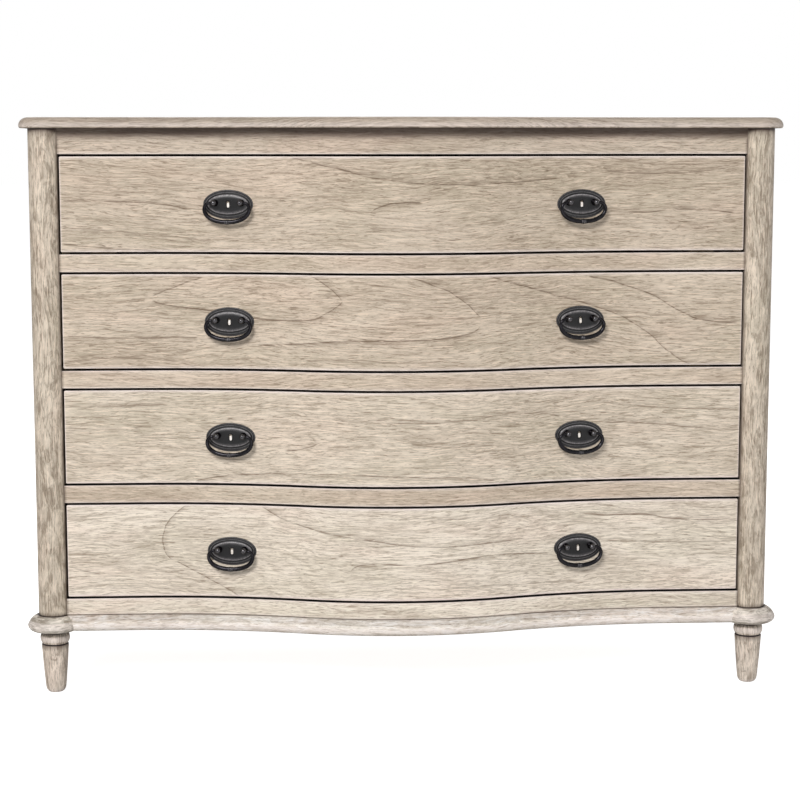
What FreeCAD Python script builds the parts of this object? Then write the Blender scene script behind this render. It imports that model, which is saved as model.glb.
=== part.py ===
import FreeCAD, Part
import math
import os
import Sketcher

# A commode chest with a serpentine front: four dovetailed drawers between round corner posts.
# Millimetres. X runs to the right, Y to the back and Z up. The origin is on the floor, under the middle of the chest.

DRAWERS = 4
DRAWER_TAILS = 3
SCREWS_PER_SIDE = 3
SIDES = {"left": -1, "right": 1}
LEVELS = ["lower", "middle", "upper"]

# Round pieces are built in flats, and mouldings in a few steps to the quarter round.
LOBE_FLATS = 12
LOBE_STEPS = 2
FOOT_FLATS = 12
PEG_FLATS = 6
SCREW_FLATS = 6
SHANK_FLATS = 4
POST_FLATS = 6
NUT_FLATS = 4
PLATE_FLATS = 12
BAIL_FLATS = 6
TOP_EDGE_STEPS = 3
NOSE_STEPS = 2
COVE_STEPS = 2
SHOULDER_STEPS = 2
SWEEP_STEPS = 6
BALL_ANGLES = [-36, 8, 56]
# How near two places count as the same.
MATCH = 0.01

# The section of a plate: how far each ridge lies inside the rim, as a share of half the plate's height, and how high
# it stands, as a share of the plate's rise.
PLATE_SHARES = [(0, 0), (0, 0.35), (0.2, 0.55), (0.28, 0.3), (0.43, 1)]
# The bead of a bail, from its middle: how far along, as a share of half the bead, and how thick, as a share of what
# the bead adds to the rod.
BEAD_SHARES = [(-1, 0), (-0.4, 1), (0.4, 1), (1, 0)]

DRIVING = [
    ("overall_width", 1219, "top board, side to side"),
    ("overall_depth", 533, "top board at the middle of the bow, front to back"),
    ("overall_height", 927, "floor to the top face"),
    ("bow_depth", 61.6, "how far the middle of the front stands before its ends"),
    ("bow_half_span", 429, "middle of the front to where the bow ends"),
    ("bow_crown_half", 165, "middle of the front to where its curve turns over"),
    ("top_thickness", 17.2, "top board"),
    ("top_side_overhang", 15, "top board past the posts at the sides"),
    ("top_front_overhang", 7, "top board past the posts at the front"),
    ("top_back_overhang", 6, "top board past the back panel"),
    ("top_corner_radius", 40, "front corners of the top board, in plan"),
    ("top_edge_round", 13, "height of the rounding on the top board's upper edge"),
    ("top_edge_reach", 15, "reach of that rounding over the top"),
    ("top_lip_round", 3.6, "easing of the top board's lower edge"),
    ("post_diameter", 50, "round front post"),
    ("post_flat_offset", 21.5, "axis of a front post to the flat beside the drawers"),
    ("post_peg_length", 13.5, "peg that a post has in its lobe"),
    ("rear_post_depth", 40, "square rear post, front to back"),
    ("rear_post_round", 4, "eased outer corners of a rear post"),
    ("face_setback", 12, "front of the posts to the face of the rails at their ends"),
    ("side_setback", 10, "outside of the posts to the side panels"),
    ("side_panel_thickness", 18, "solid side panel"),
    ("panel_tongue", 10, "how deep a side panel sits in its rear post"),
    ("panel_front_inset", 12, "axis of a front post to the front edge of the side panel"),
    ("back_panel_thickness", 6, "plywood back"),
    ("back_rebate", 8, "rebate of the rear posts for the back panel"),
    ("top_rail_height", 40.6, "rail under the top board"),
    ("rail_height", 28.3, "rail between two drawers"),
    ("bottom_rail_height", 26.8, "rail under the lowest drawer"),
    ("rail_depth", 43, "front rails at their ends, front to back"),
    ("rear_rail_thickness", 20, "rear rails, front to back"),
    ("tenon_length", 12, "tenons of the rails"),
    ("tenon_thickness", 12, "tenons of the rails, front to back"),
    ("tenon_shoulder", 5, "shoulder above and below a tenon"),
    ("tenon_setback", 9, "face of a rail to its tenon"),
    ("foot_height", 101, "floor to the lobes"),
    ("foot_tip_radius", 11, "flat that a foot stands on"),
    ("foot_tip_round", 8, "height of the bevelled tip"),
    ("foot_ankle_radius", 15.2, "taper, just above the tip"),
    ("foot_shoulder_radius", 21.9, "taper, at its top"),
    ("foot_groove_radius", 20.4, "groove under the ring and neck above it"),
    ("foot_groove_width", 2, "groove under the ring"),
    ("foot_ring_edge_radius", 21.8, "ring at its lower and upper edge"),
    ("foot_ring_radius", 23.8, "ring where it is widest"),
    ("foot_ring_height", 14, "ring"),
    ("foot_neck_height", 3, "neck above the ring"),
    ("peg_radius", 9, "pegs of the feet and of the posts, over their corners"),
    ("foot_peg_length", 13.5, "peg that a foot has in its lobe"),
    ("lobe_height", 28, "round corner lobe of the base"),
    ("lobe_radius", 43, "round corner lobe of the base"),
    ("lobe_upper_round", 17, "upper rounding of a lobe"),
    ("lobe_lower_round", 10.5, "lower rounding of a lobe"),
    ("base_height", 25, "base members between the lobes"),
    ("base_depth", 40, "base members, from the face of the bullnose"),
    ("base_nose_projection", 14.5, "bullnose before the face of the case"),
    ("base_nose_radius", 9, "bullnose of the base"),
    ("base_cove_radius", 6.5, "cove between the bullnose and the case"),
    ("base_cove_ledge", 0.8, "ledge of the base before the face of the case"),
    ("cope_overlap", 20, "axis of a lobe to the end of the member that is coped to it"),
    ("runner_width", 24, "drawer runner, inward from the guide"),
    ("runner_height", 20, "drawer runner"),
    ("guide_height", 24, "guide beside the drawer, above the runner"),
    ("cleat_height", 20, "cleat under the top board"),
    ("stop_width", 40, "drawer stop, side to side"),
    ("stop_length", 18, "drawer stop, front to back"),
    ("stop_height", 6, "drawer stop"),
    ("stop_middle", 480, "middle of the chest to the middle of a drawer stop"),
    ("screw_radius", 2.4, "screw of the top board"),
    ("screw_head_radius", 4.5, "head of the screw"),
    ("screw_head_height", 2.5, "head of the screw"),
    ("screw_bite", 11, "how deep a screw goes into the top board"),
    ("drawer_gap", 3.4, "gap above and below a drawer front"),
    ("drawer_side_gap", 2.8, "gap at the ends of a drawer front"),
    ("drawer_front_thickness", 20, "drawer front, front to back"),
    ("drawer_side_thickness", 12, "drawer side"),
    ("drawer_back_thickness", 12, "drawer back"),
    ("drawer_bottom_thickness", 5, "drawer bottom"),
    ("drawer_bottom_groove", 5, "depth of the grooves of the sides that hold the bottom"),
    ("drawer_bottom_rise", 10, "lower edge of a drawer side to its bottom"),
    ("drawer_side_drop", 8, "top of the opening to the top of a drawer side"),
    ("drawer_back_drop", 5, "top of a drawer side to the top of the drawer back"),
    ("drawer_back_inset", 10, "rear ends of the drawer sides to the drawer back"),
    ("drawer_back_housing", 4, "how deep the drawer back is let into the sides"),
    ("drawer_rear_room", 20, "drawer to the rear rails"),
    ("runner_clearance", 0.3, "drawer side above its runner"),
    ("tail_length", 14, "tails of the sides in a drawer front"),
    ("tail_narrow_share", 0.3, "half a tail at its root, as a share of the pitch"),
    ("tail_wide_share", 0.37, "half a tail at its end, as a share of the pitch"),
    ("pull_middle", 280, "middle of the chest to the middle of a pull"),
    ("plate_width", 80, "oval plate"),
    ("plate_height", 46, "oval plate"),
    ("plate_rise", 3.2, "oval plate, back to the raised oval in its middle"),
    ("keyhole_width", 4.8, "slot in the middle of a plate"),
    ("keyhole_height", 10.5, "slot in the middle of a plate"),
    ("pull_post_spacing", 42, "between the two posts of a pull"),
    ("pull_post_rise", 2.5, "middle of a plate to its posts, upward"),
    ("pull_collar_radius", 5.2, "collar of a pull post on its plate"),
    ("pull_collar_height", 2, "sloping collar of a pull post"),
    ("pull_stem_radius", 2.8, "stem of a pull post"),
    ("pull_ball_radius", 4.9, "ball of a pull post"),
    ("pull_pivot_rise", 12.5, "back of a plate to the axis of its bail"),
    ("pull_shank_radius", 2, "threaded shank of a pull post"),
    ("pull_shank_clearance", 0.25, "hole for a shank, on the radius"),
    ("nut_radius", 4.2, "nut behind the drawer front, over its corners"),
    ("nut_thickness", 3.5, "nut behind the drawer front"),
    ("shank_past_nut", 2, "shank past its nut"),
    ("bail_pin_radius", 1.6, "pin of a bail in its post"),
    ("bail_pin_depth", 2.6, "pin of a bail past the side of the ball"),
    ("bail_pin_clearance", 0.1, "hole for a pin, on the radius and at its end"),
    ("bail_end_radius", 2.2, "rod of a bail beside the posts"),
    ("bail_middle_radius", 3.6, "rod of a bail at the bottom"),
    ("bail_bead_radius", 4.2, "bead in the middle of a bail"),
    ("bail_bead_length", 5, "bead in the middle of a bail"),
    ("bail_half_width", 36, "middle of a bail to the middle of its rod at the side"),
    ("bail_shoulder", 9, "rounded shoulder of a bail"),
    ("bail_drop", 30, "axis of a bail to the middle of its rod at the bottom"),
    ("overrun", 1, "how far a cutting tool runs past what it cuts"),
]

WORKED_OUT = [
    ("post_radius", "post_diameter / 2"),
    ("post_axis_x", "overall_width / 2 - top_side_overhang - post_radius"),
    ("front_end_y", "bow_depth - overall_depth / 2"),
    ("post_axis_y", "front_end_y + top_front_overhang + post_radius"),
    ("face_y", "post_axis_y - post_radius + face_setback"),
    ("post_flat_half", "sqrt(post_radius ^ 2 - post_flat_offset ^ 2)"),
    ("opening_half_width", "post_axis_x - post_flat_offset"),
    ("case_half_width", "post_axis_x + post_radius - side_setback"),
    ("panel_inner_x", "case_half_width - side_panel_thickness"),
    ("case_back_y", "overall_depth / 2 - top_back_overhang"),
    ("rear_post_front_y", "case_back_y - rear_post_depth"),
    ("rear_axis_y", "case_back_y - post_radius"),
    ("rear_rail_back_y", "case_back_y - back_panel_thickness"),
    ("rear_rail_front_y", "rear_rail_back_y - rear_rail_thickness"),
    ("rail_back_y", "face_y + rail_depth"),
    ("case_bottom", "foot_height + lobe_height"),
    ("case_top", "overall_height - top_thickness"),
    ("case_height", "case_top - case_bottom"),
    ("first_opening", "case_bottom + bottom_rail_height"),
    (
        "opening_height",
        "(case_top - top_rail_height - first_opening - %d * rail_height) / %d" % (DRAWERS - 1, DRAWERS),
    ),
    ("level_pitch", "opening_height + rail_height"),
    ("base_bottom", "case_bottom - base_height"),
    ("crown_drop", "bow_depth * bow_crown_half / bow_half_span"),
    ("bow_turn", "2 * atan(bow_depth / bow_half_span)"),
    ("crown_radius", "bow_crown_half / sin(bow_turn)"),
    ("flank_radius", "(bow_half_span - bow_crown_half) / sin(bow_turn)"),
    ("pull_turn", "asin((bow_half_span - pull_middle) / flank_radius)"),
    ("pull_face_y", "face_y - flank_radius * (1 - cos(pull_turn))"),
    ("plate_standoff", "flank_radius - sqrt(flank_radius ^ 2 - (plate_width / 2) ^ 2)"),
    ("front_half_width", "opening_half_width - drawer_side_gap"),
    ("drawer_inner_half", "front_half_width - drawer_side_thickness"),
    ("drawer_front_inner_y", "face_y + drawer_front_thickness"),
    ("drawer_back_y", "rear_rail_front_y - drawer_rear_room"),
    ("drawer_side_height", "opening_height - drawer_side_drop - runner_clearance"),
    ("drawer_bottom_z", "runner_clearance + drawer_bottom_rise"),
    ("drawer_bottom_top", "drawer_bottom_z + drawer_bottom_thickness"),
]

doc = FreeCAD.newDocument("commode_chest")
sheet = doc.addObject("Spreadsheet::Sheet", "Sizes")


class Size:
    """A length or angle: its number now, and the expression that keeps it bound to the sheet."""

    def __init__(self, value, text):
        self.value = value
        self.text = text

    def joined(self, other, sign, value):
        text = other.text if isinstance(other, Size) else repr(other)
        return Size(value, "(" + self.text + " " + sign + " " + text + ")")

    def __add__(self, other):
        return self.joined(other, "+", self.value + number(other))

    def __sub__(self, other):
        return self.joined(other, "-", self.value - number(other))

    def __mul__(self, other):
        return self.joined(other, "*", self.value * number(other))

    def __truediv__(self, other):
        return self.joined(other, "/", self.value / number(other))

    def __neg__(self):
        return self * -1


ZERO = Size(0.0, "0")


def number(size):
    return size.value if isinstance(size, Size) else size


def fill_sheet():
    """Writes the driving sizes and what follows from them, and gives every cell its name."""
    rows = [(name, str(value), note) for name, value, note in DRIVING]
    rows += [(name, "=" + formula, "worked out") for name, formula in WORKED_OUT]
    for row, (name, text, note) in enumerate(rows, start=1):
        sheet.set("A%d" % row, name)
        sheet.set("B%d" % row, text)
        sheet.set("C%d" % row, note)
        sheet.setAlias("B%d" % row, name)
    doc.recompute()
    sizes = {}
    for name, _, _ in rows:
        cell = sheet.get(name)
        value = cell.Value if hasattr(cell, "Value") else float(cell)
        sizes[name] = Size(value, "Sizes." + name)
    return sizes


size = fill_sheet()
kept = {}


def arc_centre(start, end, radius, turn):
    """The centre of an arc of under a half circle from start to end; turn is 1 against the clock and -1 with it."""
    across = (end[0] - start[0], end[1] - start[1])
    length = math.hypot(across[0], across[1])
    away = math.sqrt(max(radius ** 2 - (length / 2) ** 2, 0)) * turn / length
    middle = ((start[0] + end[0]) / 2, (start[1] + end[1]) / 2)
    return (middle[0] - across[1] * away, middle[1] + across[0] * away)


def arc_edge(start, end, radius, turn):
    centre = arc_centre(start, end, radius, turn)
    first, last = (start, end) if turn > 0 else (end, start)
    begin = math.atan2(first[1] - centre[1], first[0] - centre[0])
    finish = math.atan2(last[1] - centre[1], last[0] - centre[0])
    if finish < begin:
        finish += 2 * math.pi
    circle = Part.Circle(FreeCAD.Vector(centre[0], centre[1], 0), FreeCAD.Vector(0, 0, 1), radius)
    return Part.ArcOfCircle(circle, begin, finish)


def new_sketch(body, name, role, offset=ZERO):
    sketch = body.newObject("Sketcher::SketchObject", name)
    plane = next(feature for feature in body.Origin.OriginFeatures if feature.Role == role)
    sketch.AttachmentSupport = (plane, [""])
    sketch.MapMode = "FlatFace"
    sketch.setExpression("AttachmentOffset.Base.z", offset.text)
    return sketch


def constrain(sketch, kind, place, value):
    index = sketch.addConstraint(Sketcher.Constraint(kind, *place, value.value))
    sketch.setExpression("Constraints[%d]" % index, value.text)


def draw(sketch, corners):
    """Draws an outline of straight edges and arcs through the corners. A corner is (across, up), and one that starts
    an arc adds the arc's radius and its turn."""
    ends = []
    for index, corner in enumerate(corners):
        following = corners[(index + 1) % len(corners)]
        start = (corner[0].value, corner[1].value)
        end = (following[0].value, following[1].value)
        if len(corner) == 2:
            line = Part.LineSegment(FreeCAD.Vector(*start, 0), FreeCAD.Vector(*end, 0))
            edge = sketch.addGeometry(line, False)
            ends.append((edge, 1, 2))
        else:
            edge = sketch.addGeometry(arc_edge(start, end, corner[2].value, corner[3]), False)
            ends.append((edge, 1, 2) if corner[3] > 0 else (edge, 2, 1))
            constrain(sketch, "Radius", (edge,), corner[2])
    for index, (edge, begin, finish) in enumerate(ends):
        constrain(sketch, "DistanceX", (-1, 1, edge, begin), corners[index][0])
        constrain(sketch, "DistanceY", (-1, 1, edge, begin), corners[index][1])
        following = ends[(index + 1) % len(ends)]
        sketch.addConstraint(Sketcher.Constraint("Coincident", edge, finish, following[0], following[1]))
    return sketch


def rectangle(left, bottom, right, above):
    return [(left, bottom), (right, bottom), (right, above), (left, above)]


def new_body(name):
    return doc.addObject("PartDesign::Body", name)


def pad(body, name, sketch, length, both_ways=False):
    feature = body.newObject("PartDesign::Pad", name)
    feature.Profile = sketch
    if both_ways:
        feature.SideType = "Symmetric"
    feature.setExpression("Length", length.text)
    return feature


def pocket(body, name, sketch, length):
    """Cuts the sketch's outline out of the body, and stops if that took nothing away."""
    doc.recompute()
    before = body.Shape.Volume
    feature = body.newObject("PartDesign::Pocket", name)
    feature.Profile = sketch
    feature.Reversed = True
    feature.setExpression("Length", length.text)
    doc.recompute()
    if body.Shape.Volume >= before:
        raise ValueError(name + " cuts nothing")
    return feature


def facing(item, across, rise, above=ZERO):
    """Turns a piece made along Z to stand out to the front, with its foot at that rise."""
    item.Placement.Rotation = FreeCAD.Rotation(FreeCAD.Vector(1, 0, 0), 90)
    return place(item, x=across, y=-rise, z=above)


def turned(name, flats, stations, towards_front=False):
    """A turning in flats: a ruled loft through regular polygons, each given as its radius and its place along the
    axis, which is Z or, for a piece on a drawer, the line to the front."""
    rings = []
    for index, (radius, along) in enumerate(stations):
        ring = doc.addObject("Part::RegularPolygon", "%s_ring_%d" % (name, index + 1))
        ring.Polygon = flats
        ring.setExpression("Circumradius", radius.text)
        rings.append(facing(ring, ZERO, along) if towards_front else place(ring, z=along))
    body = doc.addObject("Part::Loft", name)
    body.Sections = rings
    body.Solid = True
    body.Ruled = True
    return body


def fused(name, first, second):
    item = doc.addObject("Part::Fuse", name)
    item.Base = first
    item.Tool = second
    return item


def eased(body, name, amount, wanted):
    """Bevels the edges of the body for which wanted says yes."""
    doc.recompute()
    base = body.Tip
    edges = ["Edge%d" % (i + 1) for i, edge in enumerate(base.Shape.Edges) if wanted(edge)]
    feature = body.newObject("PartDesign::Chamfer", name)
    feature.Base = (base, edges)
    feature.setExpression("Size", amount.text)
    return feature


def place(item, x=ZERO, y=ZERO, z=ZERO):
    for axis, value in (("x", x), ("y", y), ("z", z)):
        item.setExpression("Placement.Base." + axis, value.text)
    return item


def box(name, low, high):
    """A rectangular block from its low corner to its high corner."""
    item = doc.addObject("Part::Box", name)
    for side, first, second in zip(("Length", "Width", "Height"), low, high):
        item.setExpression(side, (second - first).text)
    return place(item, *low)


def prism(name, flats, radius, length, x=ZERO, y=ZERO, z=ZERO):
    """A many-sided bar along Z, with its radius over the corners."""
    item = doc.addObject("Part::Prism", name)
    item.Polygon = flats
    item.setExpression("Circumradius", radius.text)
    item.setExpression("Height", length.text)
    return place(item, x, y, z)


def group(name, items):
    item = doc.addObject("Part::Compound", name)
    item.Links = items
    return item


def cut(name, base, tools):
    tool = tools[0] if len(tools) == 1 else group(name + "_tools", tools)
    item = doc.addObject("Part::Cut", name)
    item.Base = base
    item.Tool = tool
    return item


def mirrored(name, source):
    """The same piece on the other side of the chest."""
    item = doc.addObject("Part::Mirroring", name)
    item.Source = source
    item.Normal = FreeCAD.Vector(1, 0, 0)
    return item


def keep(name, item):
    """Makes the item the chest's sub-part of that name."""
    item.Label = name
    kept[name] = item
    return item


def copy_to(name, source, z):
    """The same piece once more, at another height."""
    return keep(name, place(group(name, [source]), z=z))


def level(index):
    """The height of an opening, counted from the lowest."""
    return size["first_opening"] + size["level_pitch"] * index


def bow(half_width, end_y, backwards=False):
    """The serpentine line from left to right: a flat end, a hollow flank, the crown, and the same again."""
    span = size["bow_half_span"]
    crown = size["bow_crown_half"]
    turn_y = end_y - size["bow_depth"] + size["crown_drop"]
    flank = size["flank_radius"]
    corners = [
        (-half_width, end_y),
        (-span, end_y, flank, -1),
        (-crown, turn_y, size["crown_radius"], 1),
        (crown, turn_y, flank, -1),
        (span, end_y),
        (half_width, end_y),
    ]
    if not backwards:
        return corners
    return [
        (half_width, end_y),
        (span, end_y, flank, 1),
        (crown, turn_y, size["crown_radius"], -1),
        (-crown, turn_y, flank, 1),
        (-span, end_y),
        (-half_width, end_y),
    ]


def bowed_board(name, half_width, end_y, back_y, bottom, height):
    """A board whose front follows the serpentine line and whose back is straight."""
    body = new_body(name)
    sketch = new_sketch(body, name + "_outline", "XY_Plane", bottom)
    draw(sketch, bow(half_width, end_y) + [(half_width, back_y), (-half_width, back_y)])
    pad(body, name + "_board", sketch, height)
    return body


def add_tenons(body, name, low_y, bottom, height):
    """Runs a tenon out of both ends of a rail."""
    reach = size["opening_half_width"] + size["tenon_length"]
    shoulder = size["tenon_shoulder"]
    outline = rectangle(
        low_y, bottom + shoulder, low_y + size["tenon_thickness"], bottom + height - shoulder
    )
    sketch = draw(new_sketch(body, name + "_tenons_outline", "YZ_Plane"), outline)
    pad(body, name + "_tenons", sketch, reach * 2, both_ways=True)


def front_rail(name, bottom, height):
    body = bowed_board(
        name, size["opening_half_width"], size["face_y"], size["rail_back_y"], bottom, height
    )
    add_tenons(body, name, size["face_y"] + size["tenon_setback"], bottom, height)
    return body


def rail_places():
    """Each rail of the case from the bottom up, as its lower edge and its height."""
    places = [(size["case_bottom"], size["bottom_rail_height"])]
    places += [(level(i + 1) - size["rail_height"], size["rail_height"]) for i in range(DRAWERS - 1)]
    return places + [(size["case_top"] - size["top_rail_height"], size["top_rail_height"])]


def front_rails():
    places = rail_places()
    keep("bottom_rail", front_rail("bottom_rail", *places[0]))
    master = front_rail("drawer_rail_pattern", places[1][0], places[1][1])
    for index, word in enumerate(LEVELS):
        copy_to("drawer_rail_" + word, master, size["level_pitch"] * index)
    keep("top_rail", front_rail("top_rail", *places[-1]))


def add_mortises(body, name, low_y):
    """Cuts the mortises of the five rails into the flat of a post on the right."""
    sketch = new_sketch(body, name + "_mortises_outline", "YZ_Plane", size["opening_half_width"])
    for bottom, height in rail_places():
        shoulder = size["tenon_shoulder"]
        outline = rectangle(
            low_y, bottom + shoulder, low_y + size["tenon_thickness"], bottom + height - shoulder
        )
        draw_again(sketch, outline)
    pocket(body, name + "_mortises", sketch, size["tenon_length"])


def draw_again(sketch, corners):
    """Adds one more closed outline of straight edges to a sketch."""
    first = len(sketch.Geometry)
    count = len(corners)
    for index, corner in enumerate(corners):
        following = corners[(index + 1) % count]
        start = FreeCAD.Vector(corner[0].value, corner[1].value, 0)
        end = FreeCAD.Vector(following[0].value, following[1].value, 0)
        sketch.addGeometry(Part.LineSegment(start, end), False)
    for index, corner in enumerate(corners):
        edge, following = first + index, first + (index + 1) % count
        constrain(sketch, "DistanceX", (-1, 1, edge, 1), corner[0])
        constrain(sketch, "DistanceY", (-1, 1, edge, 1), corner[1])
        sketch.addConstraint(Sketcher.Constraint("Coincident", edge, 2, following, 1))


def front_posts():
    """Round posts with a flat beside the drawers, a groove for the side panel and a peg in the lobe."""
    body = new_body("front_post")
    x, y, radius = size["post_axis_x"], size["post_axis_y"], size["post_radius"]
    flat_x, flat_half = size["opening_half_width"], size["post_flat_half"]
    sketch = new_sketch(body, "front_post_outline", "XY_Plane", size["case_bottom"])
    draw(sketch, [(flat_x, y - flat_half, radius, 1), (x + radius, y, radius, 1), (flat_x, y + flat_half)])
    pad(body, "front_post_column", sketch, size["case_height"])
    sketch = new_sketch(body, "front_post_groove_outline", "XY_Plane", size["case_bottom"])
    draw(sketch, rectangle(
        size["panel_inner_x"], y + size["panel_front_inset"], size["case_half_width"], y + radius
    ))
    pocket(body, "front_post_groove", sketch, size["case_height"])
    add_mortises(body, "front_post", size["face_y"] + size["tenon_setback"])
    post = fused("front_post_right", body, post_peg("front_post_peg", y))
    keep("front_post_right", post)
    keep("front_post_left", mirrored("front_post_left", post))


def post_peg(name, y):
    length = size["post_peg_length"]
    return prism(name, PEG_FLATS, size["peg_radius"], length, size["post_axis_x"], y, size["case_bottom"] - length)


def rear_posts():
    """Square posts with a groove for the side panel, a rebate for the back and a peg in the lobe."""
    body = new_body("rear_post")
    inner, outer = size["opening_half_width"], size["post_axis_x"] + size["post_radius"]
    front, back = size["rear_post_front_y"], size["case_back_y"]
    sketch = new_sketch(body, "rear_post_outline", "XY_Plane", size["case_bottom"])
    draw(sketch, rectangle(inner, front, outer, back))
    pad(body, "rear_post_column", sketch, size["case_height"])

    def outer_corner(edge):
        return edge.BoundBox.XMin > outer.value - MATCH and edge.BoundBox.ZLength > MATCH

    eased(body, "rear_post_corners", size["rear_post_round"], outer_corner)
    sketch = new_sketch(body, "rear_post_groove_outline", "XY_Plane", size["case_bottom"])
    draw(sketch, rectangle(
        size["panel_inner_x"], front, size["case_half_width"], front + size["panel_tongue"]
    ))
    pocket(body, "rear_post_groove", sketch, size["case_height"])
    sketch = new_sketch(body, "rear_post_rebate_outline", "XY_Plane", size["case_bottom"])
    draw(sketch, rectangle(inner, size["rear_rail_back_y"], inner + size["back_rebate"], back))
    pocket(body, "rear_post_rebate", sketch, size["case_height"])
    add_mortises(body, "rear_post", rear_tenon_y())
    post = fused("rear_post_right", body, post_peg("rear_post_peg", size["rear_axis_y"]))
    keep("rear_post_right", post)
    keep("rear_post_left", mirrored("rear_post_left", post))


def rear_tenon_y():
    """The front of the rear rails' tenons, which stand in the middle of the rails."""
    return size["rear_rail_front_y"] + (size["rear_rail_thickness"] - size["tenon_thickness"]) / 2


def rear_rails(base_member):
    """Five straight rails at the heights of the front ones, which carry the runners and the back, and the rear
    member of the base."""
    rails = [base_member]
    for index, (bottom, height) in enumerate(rail_places()):
        name = "rear_rail_%d" % (index + 1)
        body = new_body(name)
        half = size["opening_half_width"]
        sketch = new_sketch(body, name + "_outline", "XY_Plane", bottom)
        draw(sketch, rectangle(-half, size["rear_rail_front_y"], half, size["rear_rail_back_y"]))
        pad(body, name + "_board", sketch, height)
        add_tenons(body, name, rear_tenon_y(), bottom, height)
        rails.append(body)
    keep("rear_rails", group("rear_rails", rails))


def side_panels():
    panel = box(
        "side_panel",
        (size["panel_inner_x"], size["post_axis_y"] + size["panel_front_inset"], size["case_bottom"]),
        (size["case_half_width"], size["rear_post_front_y"] + size["panel_tongue"], size["case_top"]),
    )
    keep("side_panel_right", panel)
    keep("side_panel_left", mirrored("side_panel_left", panel))


def back_panel():
    half = size["opening_half_width"] + size["back_rebate"]
    keep("back_panel", box(
        "back_panel",
        (-half, size["rear_rail_back_y"], size["case_bottom"]),
        (half, size["case_back_y"], size["case_top"]),
    ))


def quarter(steps, reach, rise):
    """A quarter round as how far in and how high each of its corners lies, from the edge to the top."""
    angles = [math.pi / 2 * step / steps for step in range(steps + 1)]
    return [(reach * (1 - math.cos(angle)), rise * math.sin(angle)) for angle in angles]


def moulded_board(name, outline_at, stations):
    """A board with a moulded edge: a ruled loft through outlines, each given as its inset and its height."""
    body = new_body(name)
    sketches = []
    for index, (inset, height) in enumerate(stations):
        sketch = new_sketch(body, "%s_outline_%d" % (name, index + 1), "XY_Plane", height)
        sketches.append(draw(sketch, outline_at(inset)))
    loft = body.newObject("PartDesign::AdditiveLoft", name + "_loft")
    loft.Profile = sketches[0]
    loft.Sections = sketches[1:]
    loft.Ruled = True
    return body


def top_outline(inset):
    """The plan of the top: its front follows the bow and its front corners are round; the back edge stays."""
    half, corner = size["overall_width"] / 2 - inset, size["top_corner_radius"] - inset
    front, back = size["front_end_y"] + inset, size["overall_depth"] / 2
    corners = [(-half, front + corner, corner, 1)] + bow(half - corner, front)[:-1]
    return corners + [
        (half - corner, front, corner, 1), (half, front + corner), (half, back), (-half, back)
    ]


def top_board(screws):
    low, lip = size["case_top"], size["top_lip_round"]
    edge = size["overall_height"] - size["top_edge_round"]
    stations = [(lip, low), (ZERO, low + lip)]
    for inset, rise in quarter(TOP_EDGE_STEPS, size["top_edge_reach"], size["top_edge_round"]):
        stations.append((inset, edge + rise))
    slab = moulded_board("top_board_slab", top_outline, stations)
    keep("top_board", cut("top_board", slab, screws))


def screw_x():
    return size["panel_inner_x"] - cleat_width() / 2


def cleat_width():
    return size["panel_inner_x"] - size["opening_half_width"]


def screw_rows():
    """Where the screws of one side stand along the cleat."""
    front, back = cleat_ends()
    pitch = (back - front) / SCREWS_PER_SIDE
    return [front + pitch * (index + 0.5) for index in range(SCREWS_PER_SIDE)]


def cleat_ends():
    return size["post_axis_y"] + size["post_radius"], size["rear_post_front_y"]


def top_cleats():
    """Cleats along the side panels, screwed up into the top board. Gives the screws back."""
    front, back = cleat_ends()
    low = size["case_top"] - size["cleat_height"]
    cleat = box(
        "top_cleat",
        (size["opening_half_width"], front, low),
        (size["panel_inner_x"], back, size["case_top"]),
    )
    screws = []
    for index, y in enumerate(screw_rows()):
        name = "top_screw_%d" % (index + 1)
        length, head = size["cleat_height"] + size["screw_bite"], size["screw_head_height"]
        shank = prism(name + "_shank", SCREW_FLATS, size["screw_radius"], length, screw_x(), y, low)
        cap = prism(
            name + "_head", SCREW_FLATS, size["screw_head_radius"], head, screw_x(), y, low - head
        )
        screws.append(fused(name, shank, cap))
    drilled = cut("top_cleat_drilled", cleat, screws)
    keep("top_cleats", group("top_cleats", [drilled, mirrored("top_cleat_left", drilled)]))
    all_screws = screws + [mirrored(screw.Name + "_left", screw) for screw in screws]
    keep("top_screws", group("top_screws", all_screws))
    return all_screws


def drawer_runners():
    """A runner under each drawer side, from rail to rail, and a guide beside it, from post to post."""
    front, back = cleat_ends()
    runners = []
    for index in range(DRAWERS):
        name = "drawer_runner_%d" % (index + 1)
        inner, outer = size["opening_half_width"], size["panel_inner_x"]
        above = level(index)
        bar = box(
            name + "_bar",
            (inner - size["runner_width"], size["rail_back_y"], above - size["runner_height"]),
            (inner, size["rear_rail_front_y"], above),
        )
        guide = box(
            name + "_guide",
            (inner, front, above - size["runner_height"]),
            (outer, back, above + size["guide_height"]),
        )
        runner = fused(name, bar, guide)
        runners += [runner, mirrored(name + "_left", runner)]
    keep("drawer_runners", group("drawer_runners", runners))


def drawer_stops():
    """Blocks on the front rails that meet the back of each drawer front."""
    stops = []
    for index in range(DRAWERS):
        name = "drawer_stop_%d" % (index + 1)
        half, front = size["stop_width"] / 2, size["drawer_front_inner_y"]
        stop = box(
            name,
            (size["stop_middle"] - half, front, level(index)),
            (size["stop_middle"] + half, front + size["stop_length"], level(index) + size["stop_height"]),
        )
        stops += [stop, mirrored(name + "_left", stop)]
    keep("drawer_stops", group("drawer_stops", stops))


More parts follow.
